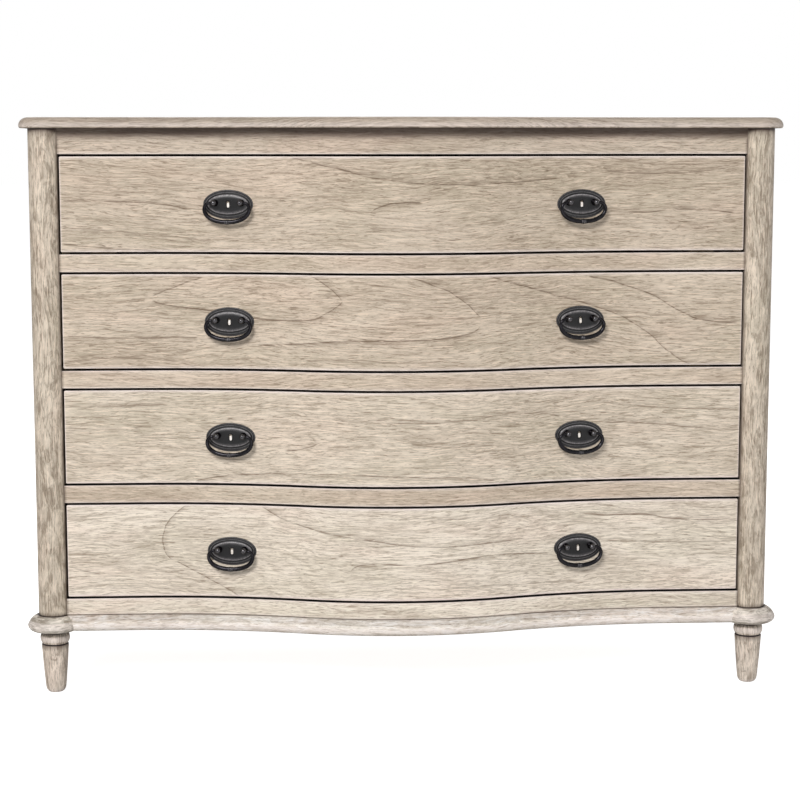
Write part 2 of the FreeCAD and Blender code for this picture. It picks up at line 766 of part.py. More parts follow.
def lobe_stations():
    """The outline of a lobe, from below: a tight lower round, a short upright side and a wider upper round."""
    radius, lower, upper = size["lobe_radius"], size["lobe_lower_round"], size["lobe_upper_round"]
    low, high = size["foot_height"], size["case_bottom"]
    below = [(radius - inset, low + lower - rise) for inset, rise in quarter(LOBE_STEPS, lower, lower)]
    above = [(radius - inset, high - upper + rise) for inset, rise in quarter(LOBE_STEPS, upper, upper)]
    return below[::-1] + above


def corner_lobes():
    """Four turned lobes with a bore for the pegs. The rear ones are sawn off flush with the back of the case."""
    turning = turned("lobe_turning", LOBE_FLATS, lobe_stations())
    bore = prism("lobe_bore", PEG_FLATS, size["peg_radius"], size["lobe_height"], z=size["foot_height"])
    lobe = cut("lobe", turning, [bore])
    front = place(group("front_lobe", [lobe]), size["post_axis_x"], size["post_axis_y"])
    rear = place(group("rear_lobe_whole", [lobe]), size["post_axis_x"], size["rear_axis_y"])
    behind = size["case_back_y"]
    saw = box(
        "rear_lobe_waste",
        (size["post_axis_x"] - size["lobe_radius"], behind, size["foot_height"]),
        (size["post_axis_x"] + size["lobe_radius"], behind + size["lobe_radius"], size["case_bottom"]),
    )
    trimmed = cut("rear_lobe", rear, [saw])
    lobes = [front, mirrored("front_lobe_left", front), trimmed, mirrored("rear_lobe_left", trimmed)]
    return keep("corner_lobes", group("corner_lobes", lobes))


def base_stations():
    """The section of a base member before the face of the case, from below: how far out and how high. A bullnose is
    followed by a quirk and a cove."""
    nose, front = size["base_nose_radius"], size["base_nose_projection"]
    cove, ledge = size["base_cove_radius"], size["base_cove_ledge"]
    low = size["base_bottom"]
    below = [(front - inset, low + nose - rise) for inset, rise in quarter(NOSE_STEPS, nose, nose)]
    above = [(front - inset, low + nose + rise) for inset, rise in quarter(NOSE_STEPS, nose, nose)]
    hollow = [
        (ledge + inset, size["case_bottom"] - rise) for inset, rise in quarter(COVE_STEPS, cove, cove)
    ]
    return below[::-1] + above[1:-1] + hollow[::-1]


def base_members(lobes):
    """The moulded members of the base between the lobes, coped to them at their ends. Gives the rear one back."""
    end_x = size["post_axis_x"] - size["cope_overlap"]
    back = size["face_y"] - size["base_nose_projection"] + size["base_depth"]

    def front_outline(outset):
        return bow(end_x, size["face_y"] - outset) + [(end_x, back), (-end_x, back)]

    front = moulded_board("base_front", front_outline, base_stations())
    keep("base_moulding_front", cut("base_moulding_front", front, [lobes]))
    body = new_body("base_side")
    front_y = size["post_axis_y"] + size["cope_overlap"]
    back_y = size["rear_axis_y"] - size["cope_overlap"]
    inner = size["case_half_width"] + size["base_nose_projection"] - size["base_depth"]
    corners = [(size["case_half_width"] + outset, height) for outset, height in base_stations()]
    corners += [(inner, size["case_bottom"]), (inner, size["base_bottom"])]
    section = draw(new_sketch(body, "base_side_section", "XZ_Plane", -front_y), corners)
    run = pad(body, "base_side_moulding", section, back_y - front_y)
    run.Reversed = True
    side = cut("base_moulding_right", body, [lobes])
    keep("base_moulding_right", side)
    keep("base_moulding_left", mirrored("base_moulding_left", side))
    half_depth = size["rear_post_depth"] / 2 - size["tenon_shoulder"]
    rear = box(
        "base_rear_bar",
        (-end_x, size["rear_axis_y"] - half_depth, size["base_bottom"]),
        (end_x, size["rear_axis_y"] + half_depth, size["case_bottom"]),
    )
    return cut("base_rear_member", rear, [lobes])


def foot_stations():
    """The outline of a foot: bevelled tip, taper, groove, ring and neck."""
    height, neck = size["foot_height"], size["foot_neck_height"]
    ring_bottom = height - neck - size["foot_ring_height"]
    groove_bottom = ring_bottom - size["foot_groove_width"]
    tip, ankle, rise = size["foot_tip_radius"], size["foot_ankle_radius"], size["foot_tip_round"]
    edge, wide = size["foot_ring_edge_radius"], size["foot_ring_radius"]
    return [
        (tip, ZERO),
        (ankle, rise),
        (size["foot_shoulder_radius"], groove_bottom),
        (size["foot_groove_radius"], ring_bottom - size["foot_groove_width"] / 2),
        (edge, ring_bottom),
        (wide, ring_bottom + size["foot_ring_height"] / 2),
        (edge, height - neck),
        (size["foot_groove_radius"], height - neck / 2),
        (size["foot_groove_radius"], height),
    ]


def feet():
    turning = turned("foot_turning", FOOT_FLATS, foot_stations())
    peg = prism("foot_peg", PEG_FLATS, size["peg_radius"], size["foot_peg_length"], z=size["foot_height"])
    foot = fused("foot", turning, peg)
    for word, y in (("front", size["post_axis_y"]), ("rear", size["rear_axis_y"])):
        right = place(group(word + "_foot_right", [foot]), size["post_axis_x"], y)
        keep(word + "_feet", group(word + "_feet", [right, mirrored(word + "_foot_left", right)]))


def tail_corners(root_y, reach):
    """The corners of the tails at the front end of a drawer side, from the bottom up."""
    pitch = size["drawer_side_height"] / DRAWER_TAILS
    narrow, wide = pitch * size["tail_narrow_share"], pitch * size["tail_wide_share"]
    corners = []
    for index in range(DRAWER_TAILS):
        middle = size["runner_clearance"] + pitch * (index + 0.5)
        corners += [
            (root_y, middle - narrow),
            (root_y + reach, middle - wide),
            (root_y + reach, middle + wide),
            (root_y, middle + narrow),
        ]
    return corners


def drawer_side_blank():
    """The right drawer side with its tails, before it is grooved for the bottom and the back."""
    body = new_body("drawer_side_blank")
    low = size["runner_clearance"]
    high = low + size["drawer_side_height"]
    front, back = size["drawer_front_inner_y"], size["drawer_back_y"]
    corners = [(front, low), (back, low), (back, high), (front, high)]
    corners += tail_corners(front, -size["tail_length"])[::-1]
    sketch = new_sketch(body, "drawer_side_outline", "YZ_Plane", size["drawer_inner_half"])
    pad(body, "drawer_side_board", draw(sketch, corners), size["drawer_side_thickness"])
    return body


def drawer_front_blank():
    """A bent board: both faces follow the serpentine line."""
    body = new_body("drawer_front_blank")
    half, face = size["front_half_width"], size["face_y"]
    sketch = new_sketch(body, "drawer_front_outline", "XY_Plane", size["drawer_gap"])
    corners = bow(half, face) + bow(half, size["drawer_front_inner_y"], backwards=True)
    height = size["opening_height"] - size["drawer_gap"] * 2
    pad(body, "drawer_front_board", draw(sketch, corners), height)
    return body


def drawer_pieces():
    """The five pieces of one drawer, at the height of its opening's lower edge."""
    back_y = size["drawer_back_y"] - size["drawer_back_inset"]
    bottom = bowed_board(
        "drawer_bottom_pattern",
        size["drawer_inner_half"] + size["drawer_bottom_groove"],
        size["drawer_front_inner_y"],
        back_y,
        size["drawer_bottom_z"],
        size["drawer_bottom_thickness"],
    )
    blank = drawer_side_blank()
    other_blank = mirrored("drawer_side_blank_left", blank)
    back_half = size["drawer_inner_half"] + size["drawer_back_housing"]
    back_top = size["runner_clearance"] + size["drawer_side_height"] - size["drawer_back_drop"]
    back_board = box(
        "drawer_back_pattern",
        (-back_half, back_y - size["drawer_back_thickness"], size["drawer_bottom_top"]),
        (back_half, back_y, back_top),
    )
    side = cut("drawer_side_grooved", blank, [bottom, back_board])
    pair = [shank_hole("front_hole", 1), shank_hole("front_hole_inner", -1)]
    holes = pull_frame("front_holes", pair, size["pull_post_rise"])
    tools = [blank, other_blank, holes, mirrored("front_holes_left", holes)]
    return {
        "front": cut("drawer_front_pattern", drawer_front_blank(), tools),
        "side_right": side,
        "side_left": mirrored("drawer_side_left_pattern", side),
        "back": back_board,
        "bottom": bottom,
    }


def sine(angle):
    return Size(math.sin(math.radians(angle.value)), "sin(" + angle.text + ")")


def cosine(angle):
    return Size(math.cos(math.radians(angle.value)), "cos(" + angle.text + ")")


def pull_frame(name, items, above=ZERO):
    """Sets pieces that are made around a plate's back on the right flank of a drawer front, square to the face
    there. What is made around the posts goes above the middle of the plate."""
    turn, away = size["pull_turn"], size["plate_standoff"]
    item = group(name, items)
    item.Placement.Rotation = FreeCAD.Rotation(FreeCAD.Vector(0, 0, 1), turn.value)
    item.setExpression("Placement.Rotation.Angle", turn.text)
    x = size["pull_middle"] + away * sine(turn)
    y = size["pull_face_y"] - away * cosine(turn)
    return place(item, x, y, size["opening_height"] / 2 + above)


def nut_rise():
    """How far behind the back of a plate its nuts bear on the inside of the drawer front."""
    return -(size["plate_standoff"] + size["drawer_front_thickness"] * cosine(size["pull_turn"]))


def shank_hole(name, side):
    """The hole of one pull post in the drawer front; side is 1 for the post to the right."""
    radius = size["pull_shank_radius"] + size["pull_shank_clearance"]
    start = nut_rise() - size["nut_thickness"]
    hole = prism(name, SHANK_FLATS, radius, size["overrun"] - start)
    return facing(hole, size["pull_post_spacing"] / 2 * side, start)


def closed_through(name, rings):
    """A solid in flats through rings of as many corners each, closed by its first and last ring."""
    faces = [Part.Face(Part.makePolygon(ring + ring[:1])) for ring in (rings[0][::-1], rings[-1])]
    for lower, upper in zip(rings, rings[1:]):
        for index in range(len(lower)):
            after = (index + 1) % len(lower)
            first, second = lower[index], lower[after]
            third, fourth = upper[after], upper[index]
            faces.append(Part.Face(Part.makePolygon([first, second, third, first])))
            faces.append(Part.Face(Part.makePolygon([first, third, fourth, first])))
    item = doc.addObject("Part::Feature", name)
    item.Shape = Part.Solid(Part.Shell(faces))
    return item


def plate_dish():
    """The oval dish of a plate, through ovals that step in to the raised one in its middle."""
    half_width, half_height = size["plate_width"].value / 2, size["plate_height"].value / 2
    rings = []
    for inset_share, rise_share in PLATE_SHARES:
        inset, rise = half_height * inset_share, size["plate_rise"].value * rise_share
        ring = []
        for flat in range(PLATE_FLATS):
            angle = 2 * math.pi * flat / PLATE_FLATS
            across, up = (half_width - inset) * math.cos(angle), (half_height - inset) * math.sin(angle)
            ring.append(FreeCAD.Vector(across, -rise, up))
        rings.append(ring)
    return closed_through("plate_dish", rings)


def pull_plate():
    """An oval plate with stepped ridges, a keyhole slot and the holes of its two posts."""
    half, through = size["keyhole_width"] / 2, size["plate_rise"] + size["overrun"]
    tall = size["keyhole_height"] / 2
    slot = box("keyhole_slot", (-half, -through, -tall), (half, size["overrun"], tall))
    radius = size["pull_shank_radius"] + size["pull_shank_clearance"]
    holes = []
    for word, side in SIDES.items():
        hole = prism("plate_hole_" + word, SHANK_FLATS, radius, through + size["overrun"])
        across = size["pull_post_spacing"] / 2 * side
        holes.append(facing(hole, across, -size["overrun"], size["pull_post_rise"]))
    return cut("pull_plate", plate_dish(), [slot] + holes)


def pull_post():
    """A ball-headed post with its collar, stem, threaded shank and nut, and the hole for the bail's pin."""
    shank, ball = size["pull_shank_radius"], size["pull_ball_radius"]
    plate, pivot = size["plate_rise"], size["pull_pivot_rise"]
    bearing = nut_rise()
    end = bearing - size["nut_thickness"] - size["shank_past_nut"]
    stations = [
        (size["pull_collar_radius"], plate),
        (size["pull_stem_radius"], plate + size["pull_collar_height"]),
    ]
    for degrees in BALL_ANGLES:
        angle = Size(float(degrees), "(%d deg)" % degrees)
        stations.append((ball * cosine(angle), pivot + ball * sine(angle)))
    head = turned("pull_post_head", POST_FLATS, stations, towards_front=True)
    rod = facing(prism("pull_post_shank", SHANK_FLATS, shank, plate - end), ZERO, end)
    depth = size["bail_pin_depth"] + size["bail_pin_clearance"]
    half_flat = Size(180 / BAIL_FLATS, "(180 deg / %d)" % BAIL_FLATS)
    radius = (size["bail_pin_radius"] + size["bail_pin_clearance"]) / cosine(half_flat)
    hole = prism("pull_pin_hole", BAIL_FLATS, radius, depth + size["overrun"])
    hole.Placement.Rotation = FreeCAD.Rotation(FreeCAD.Vector(0, 1, 0), 90)
    place(hole, x=ball - depth, y=-pivot)
    post = cut("pull_post_bored", fused("pull_post_turning", head, rod), [hole])
    blank = prism("pull_nut_blank", NUT_FLATS, size["nut_radius"], size["nut_thickness"])
    nut = cut("pull_nut", facing(blank, ZERO, bearing - size["nut_thickness"]), [rod])
    right = place(group("pull_post_right", [post, nut]), x=size["pull_post_spacing"] / 2)
    return [right, mirrored("pull_post_left", right)]


def bail_path():
    """The stations of a bail from its left pin to its right one: across, up, heading and radius of the rod."""
    half, shoulder, drop = (size[name].value for name in ("bail_half_width", "bail_shoulder", "bail_drop"))
    thin, thick = size["bail_end_radius"].value, size["bail_middle_radius"].value
    ball_side = size["pull_post_spacing"].value / 2 + size["pull_ball_radius"].value
    pin_end = ball_side - size["bail_pin_depth"].value
    collar = ball_side + size["bail_pin_clearance"].value
    pin = size["bail_pin_radius"].value
    path = [(-pin_end, 0, 180, pin), (-collar, 0, 180, pin), (-collar - (thin - pin), 0, 180, thin)]
    for step in range(1, SHOULDER_STEPS):
        angle = math.radians(90 * step / SHOULDER_STEPS)
        across = -(half - shoulder) - shoulder * math.sin(angle)
        path.append((across, shoulder * (math.cos(angle) - 1), 180 + math.degrees(angle), thin))
    fall = drop - shoulder
    bead = size["bail_bead_length"].value / 2
    sweep = [180 * step / SWEEP_STEPS for step in range(SWEEP_STEPS // 2)]
    for degrees in sweep:
        angle = math.radians(degrees)
        heading = math.degrees(math.atan2(-fall * math.cos(angle), half * math.sin(angle))) + 360
        rod = thin + (thick - thin) * math.sin(angle)
        path.append((-half * math.cos(angle), -shoulder - fall * math.sin(angle), heading, rod))
    added = size["bail_bead_radius"].value - thick
    middle = [(bead * along, -drop, 360, thick + added * share) for along, share in BEAD_SHARES]
    other_side = [(-across, up, 720 - heading, rod) for across, up, heading, rod in reversed(path)]
    return path + middle + other_side


def bail():
    """A bail in flats, through polygons that stand square to its path."""
    rings = []
    lift = size["pull_pivot_rise"].value
    for across, up, heading, rod in bail_path():
        turn = math.radians(heading)
        corners = []
        for flat in range(BAIL_FLATS):
            angle = 2 * math.pi * flat / BAIL_FLATS
            side = rod * math.cos(angle)
            corners.append(FreeCAD.Vector(
                across - side * math.sin(turn), rod * math.sin(angle) - lift, up + side * math.cos(turn)
            ))
        rings.append(corners)
    return closed_through("bail_rod", rings)


def drawers():
    """Four drawers of the same pieces, the first at the top, each with two pulls."""
    pieces = drawer_pieces()
    plate = pull_frame("pull_plate_right", [pull_plate()])
    plates = group("pull_plates_pattern", [plate, mirrored("pull_plate_left", plate)])
    posts = pull_frame("pull_posts_right", pull_post(), size["pull_post_rise"])
    bolts = group("pull_bolts_pattern", [posts, mirrored("pull_posts_left", posts)])
    bail_right = pull_frame("bail_right_pattern", [bail()], size["pull_post_rise"])
    pieces.update({
        "pull_plates": plates,
        "pull_bolts": bolts,
        "bail_right": bail_right,
        "bail_left": mirrored("bail_left_pattern", bail_right),
    })
    for number_from_top in range(1, DRAWERS + 1):
        height = level(DRAWERS - number_from_top)
        for word, piece in pieces.items():
            copy_to("drawer_%d_%s" % (number_from_top, word), piece, height)


def build():
    top_board(top_cleats())
    front_posts()
    rear_posts()
    side_panels()
    back_panel()
    front_rails()
    drawer_runners()
    drawer_stops()
    rear_rails(base_members(corner_lobes()))
    feet()
    drawers()
    doc.recompute()


def check_and_write():
    for item in doc.Objects:
        if "Invalid" in item.State or "Error" in item.State:
            raise ValueError("%s did not build: %s" % (item.Name, item.State))
    os.makedirs("parts", exist_ok=True)
    for name, item in sorted(kept.items()):
        if item.Shape.isNull() or not item.Shape.isValid() or not item.Shape.Solids:
            raise ValueError(name + " is not a valid solid")
        item.Shape.exportStep("parts/" + name + ".step")
    print(len(kept), "sub-parts written")


build()
check_and_write()
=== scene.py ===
"""A serpentine commode chest: washed, open-grained wood with dark bronze bail pulls.

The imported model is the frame. Every turned, bowed or cast piece is rebuilt here on the same sizes with a
fine mesh, and the flat hidden boards keep their own shape. Shapes are in millimetres, and materials, lamps
and the camera in metres.
"""

from dataclasses import dataclass
from math import acos, atan, copysign, cos, exp, inf, pi, radians, sin, sqrt

import bmesh
import bpy
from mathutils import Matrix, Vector


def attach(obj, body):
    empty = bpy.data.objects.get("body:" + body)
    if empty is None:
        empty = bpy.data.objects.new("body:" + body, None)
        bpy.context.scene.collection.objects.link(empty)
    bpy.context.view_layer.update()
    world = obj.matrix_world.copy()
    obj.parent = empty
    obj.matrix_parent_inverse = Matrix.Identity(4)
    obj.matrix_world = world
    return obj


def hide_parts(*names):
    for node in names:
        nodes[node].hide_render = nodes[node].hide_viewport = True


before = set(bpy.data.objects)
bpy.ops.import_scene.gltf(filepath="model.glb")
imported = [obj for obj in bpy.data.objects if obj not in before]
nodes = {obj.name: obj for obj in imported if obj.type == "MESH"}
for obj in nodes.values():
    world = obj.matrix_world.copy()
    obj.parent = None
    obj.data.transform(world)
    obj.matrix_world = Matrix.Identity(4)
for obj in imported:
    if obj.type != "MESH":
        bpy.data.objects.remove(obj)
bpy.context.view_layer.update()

MM = 0.001
QUARTER = pi / 2
WHOLE = 2 * pi
SIDES = {-1: "left", 1: "right"}

# The serpentine line: flat ends, hollow flanks and a round crown
FACE = -185.9
BOW = 61.6
FLAT_FROM = 429.0
CROWN_HALF = 165.0
TURN = 2.0 * atan(BOW / FLAT_FROM)
CROWN_R = CROWN_HALF / sin(TURN)
FLANK_R = (FLAT_FROM - CROWN_HALF) / sin(TURN)

# The top
TOP_X = 609.5
TOP_Y = 266.5
TOP_LOW = 909.8
TOP_HIGH = 927.0
TOP_CORNER = 40.0
TOP_REACH = 19.0
TOP_EASE = 3.6
TOP_ROUND_LOW = 914.0
TOP_ROUND_DEEP = 15.0

# The posts and rails
POST_X = 569.5
POST_Y = -172.9
POST_R = 25.0
SIDE_OF_POST = 548.0
REAR_POST_Y = 235.5
BACK = 260.5
RAIL_BACK = -142.9
RAIL_ARRIS = 0.7
RAIL_SHADE_BAND = 16.0
SHADE_LOW = 888.0
SHADE_HIGH = 901.0
SHADE_DEEP = 0.72

# The base moulding, measured out from the face
BASE_LOW = 104.0
BASE_TOP = 129.0
BASE_BACK = -25.5
NOSE_R = 9.0
NOSE_OUT = 5.5
NOSE_Z = 113.0
NOSE_TURN = 132
COVE_R = 6.5
COVE_OUT = 7.3
COVE_LOW = 122.5
LEDGE = 0.8
SIDE_BASE_X = 584.5
SIDE_BASE_FRONT = -152.0
SIDE_BASE_REAR = 214.5

# The lobes and feet
LOBE_R = 43.0
LOBE_LOW = 101.0
LOBE_WIDEST = 112.5
LOBE_UNDER_R = 10.5
LOBE_UNDER_TALL = 9.6
LOBE_FALL = 16.6
LOBE_RISE = 16.4
LOBE_CROWNED = 0.62
PROFILE_BORE = 4.0
TAPER_LOW = 10.0
TAPER_TALL = 69.0
TAPER_R = 16.3
TAPER_GROWS = 5.5
TAPER_SWELLS = 0.3
RING_CORE = 19.3
RING_OUT = 4.5
RING_Z = 90.2
RING_HALF_TALL = 8.2
NECK_R = 20.4

# The drawers
OPENING = 157.125
LEVELS = [712.075, 526.65, 341.225, 155.8]
FRONT_HALF = 545.1
FRONT_THICK = 20.0
FRONT_ARRIS = 1.2
FRONT_SHADE_BAND = 6.0
FRONT_END_ROUND = 1.4
FRONT_CORNER = 2.6
GAP = 3.4

# The pulls: each stands square to the flank of the bow
PULL_X = 280.135
PULL_Y = -198.649
PULL_RISE = 78.5625
PULL_TURN = radians(9.138)
PLATE_HALF_WIDE = 40.0
PLATE_HALF_HIGH = 23.0
SLOT_HALF_WIDE = 2.4
SLOT_HALF_HIGH = 5.25
BOLT_ACROSS = 21.0
BOLT_UP = 2.5
BALL_R = 4.9
BALL_OUT = 12.5
PIN_R = 1.6
PIN_END = 27.0
ELBOW_R = 9.0
BAIL_HALF_WIDE = PIN_END + ELBOW_R
BAIL_FALL = 21.0
BAIL_SQUARENESS = 0.92
ROD_THIN = 2.2
ROD_SWELL = 1.4
BEAD_CORE = 3.3
BEAD_HALF_LONG = 1.5
BEAD_PROUD = 0.95


def bow(x):
    """How far the serpentine line stands forward of its ends at x (a negative length)."""
    away = abs(x)
    if away >= FLAT_FROM:
        return 0.0
    if away >= CROWN_HALF:
        return sqrt(FLANK_R ** 2 - (FLAT_FROM - away) ** 2) - FLANK_R
    return CROWN_R - sqrt(CROWN_R ** 2 - away ** 2) - BOW


# Small mesh tools

class Sheet:
    """A growing mesh: points with two painted values each, dark glaze and painted shade, and pale wear and
    painted highlight.
    """

    def __init__(self):
        self.points = []
        self.faces = []
        self.glaze_and_shade = []
        self.wear_and_highlight = []

    def row(self, points, glaze_and_shade=0.0, wear_and_highlight=0.0):
        """Adds points. A painted value is one number for all of them, or a list with one for each.

        A profile's places hold these two painted values last, shade then highlight, and leave them out where
        they are 0.
        """
        start = len(self.points)
        self.points += points
        self.glaze_and_shade += glaze_and_shade if isinstance(glaze_and_shade, list) else [glaze_and_shade] * len(points)
        self.wear_and_highlight += wear_and_highlight if isinstance(wear_and_highlight, list) else [wear_and_highlight] * len(points)
        return list(range(start, len(self.points)))

    def skin(self, rows, caps=True):
        """Joins closed rows by faces, one after another, and closes the two ends."""
        for one, other in zip(rows, rows[1:]):
            for at in range(len(one)):
                after = (at + 1) % len(one)
                self.faces.append((one[at], one[after], other[after], other[at]))
        if caps:
            self.faces.append(tuple(reversed(rows[0])))
            self.faces.append(tuple(rows[-1]))


def piece(name, sheet, material, replaced, sharp, body="carcass", slot="case"):
    """Puts a mesh in the scene in metres, with its painted values, and hangs it on its body."""
    mesh = bpy.data.meshes.new(name)
    mesh.from_pydata([(x * MM, y * MM, z * MM) for x, y, z in sheet.points], [], sheet.faces)
    # Two painted values: dark glaze with painted shade in gaps, grooves and under overhangs, and pale wear
    # with painted highlights on arrises, ridges and balls.
    for label, values in (("glaze_and_shade", sheet.glaze_and_shade), ("wear_and_highlight", sheet.wear_and_highlight)):
        layer = mesh.attributes.new(label, "FLOAT", "POINT")
        layer.data.foreach_set("value", values)
    shape = bmesh.new()
    shape.from_mesh(mesh)
    bmesh.ops.recalc_face_normals(shape, faces=shape.faces)
    shape.to_mesh(mesh)
    shape.free()
    for face in mesh.polygons:
        face.use_smooth = True
    mesh.set_sharp_from_angle(angle=radians(sharp))
    mesh.materials.append(material)
    obj = bpy.data.objects.new(name, mesh)
    bpy.context.collection.objects.link(obj)
    if replaced:
        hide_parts(*replaced)
    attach(obj, body)


def circle(flats):
    """Points of a circle with radius 1."""
    return [(cos(WHOLE * at / flats), sin(WHOLE * at / flats)) for at in range(flats)]


def stations(half):
    """Places along a bowed bar: close together where it curves and near its ends."""
    count = round(2 * FLAT_FROM / 7.0)
    middle = [-FLAT_FROM + 2 * FLAT_FROM * at / count for at in range(count + 1)]
    flat = [FLAT_FROM + (half - FLAT_FROM) * at / 6 for at in range(1, 6)]
    outer = flat + [half - short for short in (4.0, 1.5, 0.0)]
    return [-x for x in reversed(outer)] + middle + outer


def bar_places(half, reach):
    """Places along a bowed bar, with more of them where its ends are rounded by reach."""
    if not reach:
        return stations(half)
    steps = 5
    rounded = [-half + reach * (1 - cos(at / steps * QUARTER)) for at in range(steps + 1)]
    clear = 0.5
    inner = [x for x in stations(half) if abs(x) < half - reach - clear]
    return rounded + inner + [-x for x in reversed(rounded)]


def rounded_off(radius, gone):
    """How far an end rounded to that radius has fallen back, at a distance gone from its tip."""
    return radius - sqrt(max(0.0, radius ** 2 - (radius - min(gone, radius)) ** 2))


def bar_paint(section, deep, gone, is_rounded):
    """Painted values at one place of a bar. Rounded ends are paled as wear and painted highlight, with
    painted shade on their tips; other ends get painted shade where they meet the posts.
    """
    edge = max(0.0, 1.0 - gone / 3.0) if is_rounded else 0.0
    # Painted shade at the tip of a rounded end, or fading over 4 mm where a square end meets a post.
    joint_shade = (0.4 if gone < 0.01 else 0.0) if is_rounded else max(0.0, 0.6 - gone * 0.15)
    glaze_and_shade = [max(dark, joint_shade) for _, _, dark, _ in section]
    wear_and_highlight = [max(pale_wear_and_highlight, edge if back < deep / 2 else 0.0) for back, _, _, pale_wear_and_highlight in section]
    return glaze_and_shade, wear_and_highlight


def bowed_bar(name, material, section, half, replaced, ends=0.0, corner=0.0, sharp=32.0, **hung):
    """A bar along the serpentine line. section holds (set back from the face, height, painted shade with
    glaze, pale wear with painted highlight).

    ends rounds the bar's ends back from its face, and corner rounds the corners as seen from the front.
    hung holds its body and slot where they aren't the case's; the slot is not used.
    """
    low = min(height for _, height, _, _ in section)
    high = max(height for _, height, _, _ in section)
    deep = max(back for back, _, _, _ in section)
    reach = max(ends, corner)
    sheet = Sheet()
    rows = []
    for x in bar_places(half, reach):
        gone = half - abs(x)
        drop = rounded_off(corner, gone)
        points = []
        for back, height, _, _ in section:
            y = FACE + bow(x) + back
            if back < deep / 2:
                y += rounded_off(ends, gone) * (1 - back / deep)
            points.append((x, y, min(max(height, low + drop), high - drop)))
        glaze_and_shade, wear_and_highlight = bar_paint(section, deep, gone, reach > 0.0)
        rows.append(sheet.row(points, glaze_and_shade, wear_and_highlight))
    sheet.skin(rows)
    piece(name, sheet, material, replaced, sharp, **hung)


def rounded_face(low, high, deep, radius, wear_and_highlight, band):
    """A section with a plain face and two softened arrises. Painted shade lines the gap, band deep, and the
    arrises are paled as wear and painted highlight.
    """
    # Painted shade: the faces inside the gap are darkened band deep behind the arris.
    half = [(deep, 0.0, 0.1, 0.0), (radius + band + 3.0, 0.0, 0.12, 0.0), (radius + band, 0.0, 1.0, 0.0),
            (radius + 0.4, 0.0, 1.0, 0.0)]
    for k in range(5):
        angle = QUARTER * (1 - k / 4)
        dark = max(0.0, sin(angle) - 0.9) * 9
        half.append((radius - radius * cos(angle), radius - radius * sin(angle), dark, wear_and_highlight))
    half += [(0.0, radius + 1.2, 0.0, wear_and_highlight * 0.45), (0.0, radius + 4.0, 0.0, 0.0)]
    below = [(back, low + rise, dark, pale_wear_and_highlight) for back, rise, dark, pale_wear_and_highlight in half]
    above = [(back, high - rise, dark, pale_wear_and_highlight) for back, rise, dark, pale_wear_and_highlight in reversed(half)]
    return below + [(0.0, (low + high) / 2, 0.0, 0.0)] + above


def turned(sheet, x, y, profile, flats, keep_before=inf):
    """A turned shape standing at x and y, cut off at keep_before. profile: (radius, height, painted shade
    with glaze, pale wear with painted highlight).
    """
    rows = []
    for radius, height, *paint in profile:
        ring = [(x + radius * a, min(y + radius * b, keep_before), height) for a, b in circle(flats)]
        rows.append(sheet.row(ring, *paint))
    sheet.skin(rows)


# Materials

def linear(red, green, blue):
    """A colour given as it looks, 0 to 255, in the units that a shader takes."""
    def one(value):
        value = value / 255.0
        return value / 12.92 if value <= 0.04045 else ((value + 0.055) / 1.055) ** 2.4
    return (one(red), one(green), one(blue), 1.0)


def changed(tone, *shares):
    """A ground tone with its red, green and blue changed."""
    return linear(*(min(255, value * share) for value, share in zip(tone, shares)))


